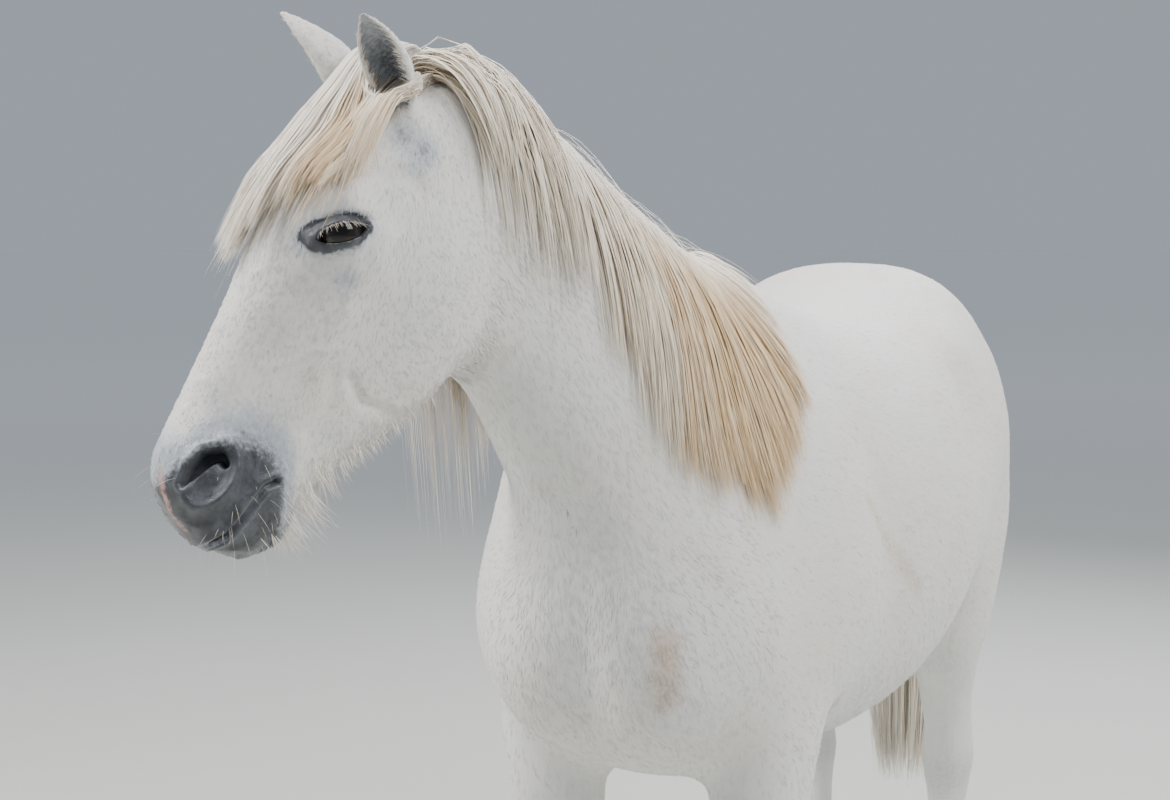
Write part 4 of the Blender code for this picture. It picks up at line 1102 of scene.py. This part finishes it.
def coat_lengths(points):
    face = smooth_step(in_head(points)[:, 1], 0.20, 0.46)
    on_head = head_share(points)
    length = 0.0125 * (1 - on_head) + (0.0080 - 0.0036 * face) * on_head
    length = length * (1 - 0.30 * leg_share(points))
    for side in (1, -1):
        length = length * (1 - 0.25 * ear_place(points, side)[2])
    return length * (1 + 0.95 * shag(points))


material, shader, place = new_finish("short tufts", 0.60, soft_sheen)
colour, dark = coat_colour(place, 0.45)
light = field(place, "shade").rising(0.0, 1.0).mixed((0.95, 0.95, 0.95, 1), (1.04, 1.035, 1.03, 1))
plug(colour.tinted(light), shader, "Base Color")
plug(dark * -0.14 + 0.60, shader, "Roughness")
plug(bump(hair_lines(place, 1300), 0.0005, 0.7), shader, "Normal")

neck_ends, legs_end = -0.42, 0.80


def on_neck(points):
    return (head_share(points) <= 0.5) & (points[:, 1] < neck_ends) & (points[:, 2] > legs_end)


coat_regions = {
    "coat_head": (14000, lambda points: head_share(points) > 0.5),
    "coat_neck": (8500, on_neck),
    "coat_trunk": (12000, lambda points: (points[:, 1] >= neck_ends) & (points[:, 2] > legs_end)),
    "coat_legs": (10000, lambda points: points[:, 2] <= legs_end),
}
for name, (count, inside) in coat_regions.items():
    roots, ways = scattered(skin, count, lambda points, normals: inside(points) * coat_weight(points))
    lengths = coat_lengths(roots) * dice.uniform(0.7, 1.25, count)
    half_widths = lengths * dice.uniform(0.040, 0.062, count)
    lifts = 0.0003 + lengths * (0.015 + 0.11 * shag(roots)) * dice.uniform(0.4, 1.5, count)
    fields = coat_fields(roots)
    fields["shade"] = dice.random(count)
    coat = tufts(name, roots, ways, lie_of_coat(roots, ways), lengths, half_widths, lifts, fields)
    coat.data.materials.append(material)
    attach(coat, "root")

# ---------------------------------------------------------------- mane
# Long coarse hair from the crest of the neck, cream above and stained ochre below. It parts
# along the crest, most of it falls to the near side, and it gathers in loose locks.

withers_y, crest_run, poll_x, turn_starts = -0.167, 0.554, -0.097, 0.25


def crest_place(y):
    """The top of the neck at this place along the horse, and its normal."""
    share = (withers_y - y) / crest_run
    x = poll_x * max(0.0, (share - turn_starts) / (1 - turn_starts)) ** 2
    place, normal, _, _ = hide.ray_cast(Vector((x, y, 2.2)), Vector((0, 0, -1)))
    return np.array(place), np.array(normal)


def along_strand(rings):
    """Where a strand's rings are, as shares of its length: closer at the root."""
    return np.linspace(0, 1, rings) ** 1.35


def combed(roots, ways, lengths, clearances, rings, stiff, sway, fall, shed):
    """Paths that leave the roots along their ways, bend to the way they fall and lie on the hide.

    Stiff is the length over which hair turns down. It sheds to the side, so its way back has a limit.
    """
    count = len(roots)
    paths, outs = np.empty((count, rings, 3)), np.empty((count, rings, 3))
    phase = dice.uniform(0, 2 * math.pi, count)
    steps = np.append(np.diff(along_strand(rings)), 0)
    falls = np.broadcast_to(np.array(fall), (count, 3))
    for k in range(count):
        point, way = np.array(roots[k]), np.array(ways[k])
        out = way
        for ring in range(rings):
            near, normal, _, _ = hide.find_nearest(Vector(point), 0.08)
            if near is not None:
                normal = np.array(normal)
                clear = clearances[k] * min(1.0, 0.25 + ring / 3)
                height = (point - np.array(near)) @ normal
                if height < clear:
                    point = point + normal * (clear - height)
                    way = way - normal * min(0.0, way @ normal)
                out = normal
            paths[k, ring], outs[k, ring] = point, out
            step = steps[ring] * lengths[k]
            drop = 1 - math.exp(-step / stiff)
            turn = sway * math.sin(phase[k] + 5.0 * ring / rings)
            way = way * (1 - drop) + falls[k] * drop + np.cross(way, out) * turn
            way[1] = min(way[1], shed * np.linalg.norm(way))
            way /= np.linalg.norm(way)
            point = point + way * step
    return paths, outs


def clear_of_ears(paths):
    """Moves the parts of strands that run through an ear out to its sides."""
    points = paths.reshape(-1, 3)
    for side in (1, -1):
        share, away, _, _ = ear_place(points, side)
        middle = ear_middle(side, share)
        inside = ((away < 1.2) & (share < 0.98))[:, None]
        moved = middle + (points - middle) * (1.2 / np.maximum(away, 0.2))[:, None]
        points = np.where(inside, moved, points)
    return points.reshape(paths.shape)


def nearest_locks(lock_places, places):
    return np.clip(np.searchsorted(lock_places, places), 0, len(lock_places) - 1)


def gathered(paths, lock_of, centres, pull, spread, wilder=1.0):
    """Strands drawn towards their lock's path, more towards the tip, and spread about it."""
    share = (pull * along_strand(paths.shape[1]))[None, :, None]
    middle = centres[lock_of] + dice.normal(0, spread, (len(paths), 1, 3)) * wilder
    return paths * (1 - share) + middle * share


def strands(name, paths, outs, half_widths, thickness, spots, fields):
    """Long three-sided strands that narrow to their tips, as one mesh."""
    count, rings = paths.shape[:2]
    run = np.gradient(paths, axis=1)
    run /= np.linalg.norm(run, axis=2, keepdims=True) + 1e-9
    across = np.cross(run, outs)
    across /= np.linalg.norm(across, axis=2, keepdims=True) + 1e-9
    up = np.cross(across, run)
    share = along_strand(rings)
    taper = np.minimum(0.55 + 2.2 * share, 1.0) * (0.10 + 0.90 * (1 - share**2.2))
    wide = half_widths[:, None, None] * taper[None, :, None]
    across = across * wide
    corners = np.stack((paths - across, paths + across, paths + up * wide * thickness), axis=2)
    points = corners.reshape(-1, 3)
    ring = (np.arange(rings - 1) * 3)[:, None, None]
    first = (np.arange(count) * rings * 3)[:, None, None, None]
    walls = np.array(((1, 0, 3, 4), (2, 1, 4, 5), (0, 2, 5, 3)))
    quads = (first + ring + walls).reshape(-1, 4)
    first = first[:, :, 0, 0][:, None]
    last = (rings - 1) * 3
    triangles = (first + np.array(((0, 1, 2), (last + 2, last + 1, last)))).reshape(-1, 3)
    local = np.stack(np.broadcast_arrays(np.array((0.0, 1.0, 0.5)), share[:, None]), -1) * patch
    maps = (np.clip(spots, 0, 1)[:, None, None] * (1 - patch) + local).reshape(-1, 2)
    piece = mesh_piece(name, points, quads, triangles, maps, np.repeat(up.reshape(-1, 3), 3, axis=0), 0.82)
    fields = {key: np.repeat(values, rings * 3) for key, values in fields.items()}
    fields["along"] = np.tile(np.repeat(share, 3), count)
    fields["across"] = np.tile((-1.0, 1.0, 0.0), count * rings)
    add_fields(piece.data, fields)
    return piece


cream_hair = (0.900, 0.785, 0.610, 1)
white_hair = (0.900, 0.885, 0.850, 1)


def hair_finish(name, ochre=(0.760, 0.540, 0.290, 1), shade_and_lash_brown=(0.240, 0.160, 0.095, 1)):
    material, shader, place = new_finish(name, 0.46, [("Sheen Weight", 0.15)])
    along, shade = field(place, "along"), field(place, "shade")
    strand = place.node("ShaderNodeCombineXYZ", {}, {
        "X": field(place, "across") * 2.2 + shade * 61, "Y": along * 3.5, "Z": shade * 17,
    })
    streak = strand.noise(1.6, 3, 0.65)
    colour = (streak * 0.6 + shade * 0.4).rising(0.25, 0.75).mixed(cream_hair, white_hair)
    stained = field(place, "stain") + (streak - 0.5) * 0.7 + (shade - 0.5) * 0.35
    stained = (stained * (along.rising(0.02, 0.55) * 0.9 + 0.1)).rising(0.10, 0.90)
    colour = stained.mixed(colour, ochre)
    # painted shade: the field deep darkens the hair towards brown in the inner layers and at the gap of the
    # mane; on the lashes it gives their own dark colour
    deep = ((streak - 0.5) * 1.2 + field(place, "deep")).rising(0.45, 1.0)
    plug(deep.mixed(colour, shade_and_lash_brown), shader, "Base Color")
    plug(streak * 0.25 + 0.34, shader, "Roughness")
    plug(bump(streak, 0.0006, 0.8), shader, "Normal")
    return material


long_hair = hair_finish("mane hair")

# share of the crest from the withers, shortest and longest hair, and how thickly it grows
mane_rows = {
    1: (
        (0.08, 0.07, 0.12, 0.4), (0.26, 0.20, 0.31, 1.0), (0.50, 0.36, 0.49, 1.2), (0.74, 0.32, 0.44, 1.0),
        (0.81, 0.24, 0.36, 0.8), (0.84, 0.24, 0.36, 0.12), (0.90, 0.20, 0.34, 0.1),
        (0.93, 0.20, 0.33, 0.95), (1.00, 0.16, 0.30, 1.1), (1.07, 0.12, 0.22, 1.0),
    ),
    -1: (
        (0.12, 0.08, 0.12, 0.4), (0.30, 0.14, 0.22, 0.8), (0.55, 0.20, 0.30, 0.9), (0.72, 0.26, 0.42, 1.0),
        (0.84, 0.30, 0.56, 1.2), (0.96, 0.30, 0.58, 1.2), (1.01, 0.26, 0.42, 1.0), (1.07, 0.16, 0.24, 0.9),
    ),
}
mane_strands, mane_rings, mane_locks = 2850, 12, 120
stiff, fall, shed = 0.045, (0.0, 0.12, -1.0), 0.24
for side, end in both_sides:
    rows = np.array(mane_rows[side])
    grid = np.linspace(rows[0, 0], rows[-1, 0], 400)
    chance = np.interp(grid, rows[:, 0], rows[:, 3])

    def mane_roots(count, spread):
        shares = dice.choice(grid, count, p=chance / chance.sum())
        shares = np.sort(shares + dice.uniform(-0.001, 0.001, count))
        depth = dice.random(count)
        tops = np.array([np.concatenate(crest_place(withers_y - crest_run * share)) for share in shares])
        roots = tops[:, :3] + (0.0, 0.0, 0.001)
        roots[:, 0] += side * spread * (1 - 1.3 * depth)
        ways = tops[:, 3:] * (0.20 + 0.55 * depth[:, None]) + (side * 0.9, 0.0, 0.0)
        return shares, depth, roots, unit(ways)

    def hair_lengths(shares):
        low, high = (np.interp(shares, rows[:, 0], rows[:, k]) for k in (1, 2))
        return low + (high - low) * dice.random(len(shares)) ** (0.8 if side > 0 else 2.0)

    lock_share, lock_depth, roots, ways = mane_roots(mane_locks, 0.006)
    clearances = 0.005 + 0.012 * lock_depth + 0.012 * smooth_step(lock_share, 0.85, 1.0)
    lengths = hair_lengths(lock_share)
    centres, _ = combed(roots, ways, lengths, clearances, mane_rings, stiff, 0.02, fall, shed)
    shares, depth, roots, ways = mane_roots(mane_strands, 0.012)
    lengths = hair_lengths(shares)
    loose = (dice.random(mane_strands) < 0.035)[:, None, None]
    clearances = 0.0025 + 0.015 * depth + 0.014 * loose[:, 0, 0] * dice.random(mane_strands)
    clearances += 0.020 * smooth_step(shares, 0.85, 1.0) * depth
    paths, outs = combed(roots, ways, lengths, clearances, mane_rings, stiff, 0.035, fall, shed)
    lock_of = nearest_locks(lock_share, shares + dice.normal(0, 0.006, mane_strands))
    ends = paths[:, -1:] - centres[lock_of][:, -1:]
    close = np.linalg.norm(ends, axis=2, keepdims=True) < 0.09
    in_locks = gathered(paths, lock_of, centres, 0.50, 0.0040, 1 + 2.5 * loose)
    paths = clear_of_ears(np.where(close & ~loose, in_locks, paths))
    lock_shade = dice.random(mane_locks)[lock_of]
    fields = {
        "shade": np.clip(0.55 * lock_shade + 0.45 * dice.random(mane_strands), 0, 1),
        "stain": 0.30 + 0.56 * bell(shares - 0.46, 0.22) * (side > 0) + 0.25 * (lock_shade - 0.5),
        # painted shade: darker at the front edge of the gap in the mane near the poll, and a little darker
        # in the inner layers
        "deep": 0.75 * bell(shares - 0.925, 0.008) + 0.05 * (1 - depth),
    }
    half_widths = dice.uniform(0.0009, 0.0017, mane_strands) * np.where(loose[:, 0, 0], 0.5, 1.0)
    spots = np.column_stack(((shares - grid[0]) / (grid[-1] - grid[0]), depth))
    mane = strands(f"mane_hair_{end}", paths, outs, half_widths, 0.55, spots, fields)
    mane.data.materials.append(long_hair)
    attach(mane, "root")
    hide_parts(f"mane_{end}")

# ---------------------------------------------------------------- forelock
# The tuft between the ears falls over the forehead to below the eyes. It fans out, lies in long
# pointed locks, and is white at the root and a little ochre at the tips.

forelock_strands, forelock_rings, forelock_locks = 2050, 12, 50
temple_strands, temple_locks = 800, 18
# the height of the forehead down its middle line, and how much lower the curtain of hair hangs aside
forehead_down = np.linspace(-0.02, 0.30, 33)
forehead = [hide.find_nearest(Vector(from_head((0, down, 0.12))))[0] for down in forehead_down]
forehead_height = [in_head(np.array(near)[None])[0, 2] for near in forehead]
fall_far, fall_near, drop_from = 5.0, 13.0, 0.2


def forelock_paths(side_share, lengths, depth, waves):
    """Paths on the face, by how far to the left each hair lies, from -1 to 1."""
    share = along_strand(forelock_rings)[None]
    side_share, lengths, depth, waves = (values[:, None] for values in (side_share, lengths, depth, waves))
    down = -0.018 + lengths * share
    far_fan = 0.018 + 0.066 * smooth_step(down, 0.02, 0.19)
    near_fan = 0.040 + 0.042 * smooth_step(down, 0.0, 0.16)
    fan = np.where(side_share > 0, near_fan, far_fan)
    across = side_share * fan + 0.003 * np.sin(waves + 4 * share) * share
    rise = 0.003 + (0.007 + 0.018 * depth) * share**0.7 + 0.006 * depth + 0.012 * depth * bell(down, 0.05)
    fall = np.where(side_share > 0, fall_near, fall_far)
    ridge = np.interp(down, forehead_down, forehead_height) - fall * across**2
    places = np.stack((across, down, ridge), -1)
    start = from_head(places + (0, 0, drop_from)).reshape(-1, 3)
    for k, point in enumerate(start):
        near, _, _, _ = hide.ray_cast(Vector(point), Vector(-head_axes[2]), drop_from)
        start[k] = point - head_axes[2] * drop_from if near is None else near
    outs = unit(head_axes[2] + (0.9 * fall * across)[:, :, None] * head_axes[0])
    return start.reshape(places.shape) + rise[:, :, None] * outs, outs


def forelock_lengths(side_share):
    longest = np.interp(side_share, (-0.1, 0.35, 0.7, 1.1), (0.292, 0.245, 0.215, 0.180))
    straying = 1 + 0.28 * (dice.random(len(side_share)) < 0.02)
    return longest * (0.74 + 0.30 * dice.random(len(side_share)) ** 0.8) * straying


lock_side = np.sort(dice.uniform(-1, 0.95, forelock_locks))
centres, _ = forelock_paths(
    lock_side, forelock_lengths(lock_side), dice.random(forelock_locks), dice.uniform(0, 6, forelock_locks)
)
side_share = dice.uniform(-1.03, 1.0, forelock_strands)
depth = dice.random(forelock_strands)
lengths = forelock_lengths(side_share)
paths, outs = forelock_paths(side_share, lengths, depth, dice.uniform(0, 6, forelock_strands))
lock_of = nearest_locks(lock_side, side_share)
paths = gathered(paths, lock_of, centres, 0.55, 0.0028)
lock_shade = dice.random(forelock_locks)[lock_of]
downwards = np.array((0.0, 0.0, -1.0))


def temple_paths(shares, depth, lengths):
    """Paths of the hair that hangs in front of the near ear, down the side of the face."""
    level = np.ones(len(shares))
    starts = from_head(np.column_stack((0.010 + 0.027 * shares, -0.006 + 0.040 * shares, 0.30 * level)))
    for k, point in enumerate(starts):
        starts[k] = hide.ray_cast(Vector(point), Vector(-head_axes[2]), 0.5)[0]
    ways = unit(np.column_stack((0.12 + 0.24 * shares, 0.92 * level, 0.35 * level)) @ head_axes)
    aside = shares[:, None]
    fall = head_axes[1] * (1 - 0.45 * aside) + downwards * 0.55 * aside
    return combed(starts, ways, lengths, 0.003 + 0.014 * depth, forelock_rings, 0.075, 0.03, fall, 0.1)


def temple_lengths(shares):
    straying = 1 + 0.40 * (dice.random(len(shares)) < 0.03)
    return (0.235 - 0.060 * shares) * (0.76 + 0.28 * dice.random(len(shares))) * straying


lock_share = np.sort(dice.random(temple_locks))
centres, _ = temple_paths(lock_share, dice.random(temple_locks), temple_lengths(lock_share))
temple_share, temple_depth = dice.random(temple_strands), dice.random(temple_strands)
more_paths, more_outs = temple_paths(temple_share, temple_depth, temple_lengths(temple_share))
lock_of = nearest_locks(lock_share, temple_share)
more_paths = gathered(more_paths, lock_of, centres, 0.40, 0.0030)
paths, outs = clear_of_ears(np.concatenate((paths, more_paths))), np.concatenate((outs, more_outs))
side_share = np.concatenate((side_share, 0.55 + 0.5 * temple_share))
depth = np.concatenate((depth, temple_depth))
lock_shade = np.concatenate((lock_shade, dice.random(temple_locks)[lock_of]))
fields = {
    "shade": np.clip(0.5 * lock_shade + 0.5 * dice.random(len(paths)), 0, 1),
    "stain": 0.12 + 0.60 * bell(side_share - 0.72, 0.30) + 0.2 * (lock_shade - 0.5),
    # a little painted shade on the strands that lie nearest the face
    "deep": 0.05 * (1 - depth),
}
half_widths = dice.uniform(0.0006, 0.0011, len(paths))
spots = np.column_stack(((side_share + 1.1) / 2.2, depth))
forelock = strands("forelock_hair", paths, outs, half_widths, 0.55, spots, fields)
forelock.data.materials.append(long_hair)
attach(forelock, "root")
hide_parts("forelock")

# ---------------------------------------------------------------- tail
# The dock ends high, and long hair grows all along it and hangs in a thick brush to below the
# hocks. It is white at the root and darker with dust towards the tips.

# height, behind the middle, half width and half depth of the brush
tail_rows = np.array((
    (1.330, 0.823, 0.026, 0.022), (1.295, 0.888, 0.034, 0.028), (1.220, 0.933, 0.046, 0.036),
    (1.100, 0.955, 0.058, 0.043), (0.950, 0.963, 0.071, 0.049), (0.800, 0.965, 0.079, 0.053),
    (0.650, 0.965, 0.081, 0.053), (0.500, 0.965, 0.064, 0.044), (0.380, 0.965, 0.040, 0.030),
))
tail_strands, tail_rings, tail_locks = 1600, 14, 40
dock_top, dock_run = 1.325, 0.13
tail_hair = hair_finish("tail hair", (0.470, 0.380, 0.270, 1), (0.200, 0.155, 0.115, 1))
for side, end in both_sides:

    def tail_paths(angles, out_share, tops, ends, waves):
        share = along_strand(tail_rings)[None]
        height = tops[:, None] + (ends - tops)[:, None] * share
        middle, wide, deep = (np.interp(height, *tail_rows[::-1, (0, k)].T) for k in (1, 2, 3))
        reach = out_share[:, None] * (0.25 + 0.75 * np.minimum(1, share * 3.0))
        angle = angles[:, None] + 0.10 * np.sin(waves[:, None] + 5 * share)
        paths = np.stack((wide * reach * np.cos(angle), middle + deep * reach * np.sin(angle), height), -1)
        outs = np.stack((np.cos(angle), np.sin(angle), 0.15 + 0 * angle), -1)
        return paths, outs

    def tail_dice(count):
        angles = np.sort(dice.uniform(-math.pi / 2, math.pi / 2, count))
        angles = angles if side > 0 else math.pi - angles
        out_share = dice.random(count) ** 0.45
        tops = dock_top - dock_run * dice.random(count) ** 1.2
        ends = 0.40 + 0.26 * dice.random(count) ** 1.5 + 0.10 * (1 - out_share)
        return angles, out_share, tops, ends, dice.uniform(0, 6, count)

    centres, _ = tail_paths(*tail_dice(tail_locks))
    strand_set = tail_dice(tail_strands)
    paths, outs = tail_paths(*strand_set)
    lock_of = np.linspace(0, tail_locks - 0.001, tail_strands).astype(int)
    shift = gathered(paths, lock_of, centres, 0.45, 0.0040, (1, 1, 0.3)) - paths
    paths = paths + shift * (1, 1, 0)
    lock_shade = dice.random(tail_locks)[lock_of]
    fields = {
        "shade": np.clip(0.5 * lock_shade + 0.5 * dice.random(tail_strands), 0, 1),
        "stain": 0.20 + 0.30 * dice.random(tail_strands),
        # painted shade on the inner strands of the brush
        "deep": 0.10 * (1 - strand_set[1]),
    }
    half_widths = dice.uniform(0.0012, 0.0020, tail_strands)
    spots = np.column_stack((np.linspace(0, 1, tail_strands), (dock_top - strand_set[2]) / dock_run))
    tail = strands(f"tail_hair_{end}", paths, outs, half_widths, 0.7, spots, fields)
    tail.data.materials.append(tail_hair)
    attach(tail, "root")
    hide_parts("tail")

# ---------------------------------------------------------------- lashes, whiskers, beard and ear fringe
# Single hairs and bristles: lashes that hang over the eye, whiskers on lips and chin, a thin pale
# beard behind the chin and along the jaw, and a soft fringe on the rims of the ears.


def curved(roots, ways, bends, lengths, rings):
    """Hairs that leave their roots along their ways and bend more and more."""
    share = along_strand(rings)[None, :, None] * lengths[:, None, None]
    return roots[:, None] + ways[:, None] * share + bends[:, None] * share**2


hair_rings, lash_count, lash_depth = 6, 58, 0.66
groups = []
for side in (1, -1):
    along = np.linspace(-0.0225, 0.0235, lash_count) + dice.normal(0, 0.0003, lash_count)
    up = lid_edge(along, slit_above) + 0.0012
    height = globe_height(np.hypot(along, up)) + lid_thick
    roots = eye_in_head + along[:, None] * lid_back + up[:, None] * lid_up + height[:, None] * lid_axis
    ways = lid_axis * 0.9 - lid_up * 0.22 + dice.normal(0, 0.14, (lash_count, 3))
    ways = ways + along[:, None] * 12 * lid_back
    turn = np.array((side, 1, 1))
    bends = np.tile(-lid_up * 22, (lash_count, 1)) * turn @ head_axes
    lengths = dice.uniform(0.009, 0.015, lash_count)
    paths = curved(from_head(roots * turn), unit(ways) * turn @ head_axes, bends, lengths, hair_rings)
    outs = np.tile(lid_up * turn @ head_axes, (lash_count, 1))
    groups.append((paths, outs, np.full(lash_count, 0.00020), 0.05))


def on_lips(points, normals):
    places = mirrored(in_head(points))
    near = bell(from_line(places, mouth_line) - 0.012, 0.010)
    chin = bell(gone(places, (0.014, 0.535, -0.030)), 0.028)
    nose = 0.35 * bell(gone(places, nostril_middle), 0.035)
    clear = nostril_gap(in_nostril_plane(places)) > 0.004
    return (near + 1.6 * chin + nose) * (places[:, 1] > 0.44) * clear


count = 100
roots, ways = scattered(skin, count, on_lips)
starts = unit(ways + 0.35 * head_axes[1] + dice.normal(0, 0.20, (count, 3)))
lengths = dice.uniform(0.010, 0.032, count)
paths = curved(roots, starts, np.tile(downwards * 8, (count, 1)), lengths, hair_rings)
groups.append((paths, ways, np.full(count, 0.00017), 0.10))


def on_jaw(points, normals):
    places = in_head(points)
    under = from_line(places * (0.5, 1, 1), jaw_line[2:])
    return bell(under, 0.020) * (normals[:, 2] < -0.2) * (places[:, 1] < 0.525) * head_share(points)


count = 620
roots, ways = scattered(skin, count, on_jaw)
starts = unit(0.5 * ways + 0.8 * downwards + dice.normal(0, 0.14, (count, 3)) - 0.25 * head_axes[1])
chin = bell(in_head(roots)[:, 1] - 0.475, 0.045)
lengths = dice.uniform(0.010, 0.020, count) * (1 + 1.5 * chin)
paths = curved(roots, starts, dice.normal(0, 3, (count, 3)), lengths, hair_rings)
groups.append((paths, ways, np.full(count, 0.00040), 0.12))


def on_ear_rims(points, normals):
    weight = np.zeros(len(points))
    for side in (1, -1):
        share, away, near, out = ear_place(points, side)
        weight = np.maximum(weight, near * (away > 0.78) * smooth_step(out, -0.45, 0.1) * (share < 0.93))
    return weight


count = 1500
roots, ways = scattered(skin, count, on_ear_rims)
starts, inward = np.empty((count, 3)), np.empty((count, 3))
for side in (1, -1):
    share = ear_place(roots, side)[0]
    _, run, _, faces = ear_frames[side]
    here = side * in_head(roots)[:, 0] >= 0
    centre = unit(ear_middle(side, share) - roots)
    start = unit(unit(run) * 0.9 + faces * 0.5 + centre * 0.45 + dice.normal(0, 0.16, (count, 3)))
    starts[here], inward[here] = start[here], centre[here]
lengths = dice.uniform(0.007, 0.015, count)
paths = curved(roots, starts, inward * 12, lengths, hair_rings)
groups.append((paths, ways, np.full(count, 0.00026), 0.22))

paths, outs, half_widths = (np.concatenate([group[k] for group in groups]) for k in range(3))
outs = np.repeat(outs[:, None], hair_rings, axis=1)
fine_hair = hair_finish("fine hair")
count = len(paths)
fields = {
    "shade": dice.random(count),
    "stain": np.concatenate([np.full(len(group[0]), group[3]) for group in groups]),
    "deep": lash_depth * (np.arange(count) < 2 * lash_count),
}
piece = strands("face_hairs", paths, outs, half_widths, 0.8, on_map(paths[:, 0], outs[:, 0]), fields)
piece.data.materials.append(fine_hair)
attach(piece, "root")

# ---------------------------------------------------------------- feather and coronet hair
# A little longer hair hangs behind each fetlock, and a thick fringe all round each coronet falls
# over the top of the hoof.


def on_fetlocks(points, normals):
    return ((points[:, 2] > 0.095) & (points[:, 2] < 0.185) & (normals[:, 1] > 0.25)) * 1.0


def on_coronets(points, normals):
    return ((points[:, 2] > 0.074) & (points[:, 2] < 0.100)) * 1.0


groups = []
leg_rings, above_ground = 5, 0.012
# where, how many, shortest and longest, and how far they stand off
leg_hairs = ((on_fetlocks, 1700, 0.020, 0.042, 0.40), (on_coronets, 5000, 0.015, 0.026, 0.80))
for weight, count, shortest, longest, outward in leg_hairs:
    roots, ways = scattered(skin, count, weight)
    starts = unit(outward * ways + 0.8 * downwards + dice.normal(0, 0.10, (count, 3)))
    bends = np.tile(downwards * 20, (count, 1)) + dice.normal(0, 2.5, (count, 3))
    lengths = dice.uniform(shortest, longest, count)
    paths = curved(roots - ways * 0.0008, starts, bends, lengths, leg_rings)
    paths[:, :, 2] = np.maximum(paths[:, :, 2], above_ground)
    groups.append((paths, ways, dice.uniform(0.0004, 0.0009, count)))
paths, outs, half_widths = (np.concatenate([group[k] for group in groups]) for k in range(3))
outs = np.repeat(outs[:, None], leg_rings, axis=1)
count = len(paths)
fields = {"shade": dice.random(count), "stain": dice.uniform(0.15, 0.45, count), "deep": np.zeros(count)}
piece = strands("fetlock_hairs", paths, outs, half_widths, 0.7, on_map(paths[:, 0], outs[:, 0]), fields)
piece.data.materials.append(fine_hair)
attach(piece, "root")

size = {"cad": solid_box, "visual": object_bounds()}
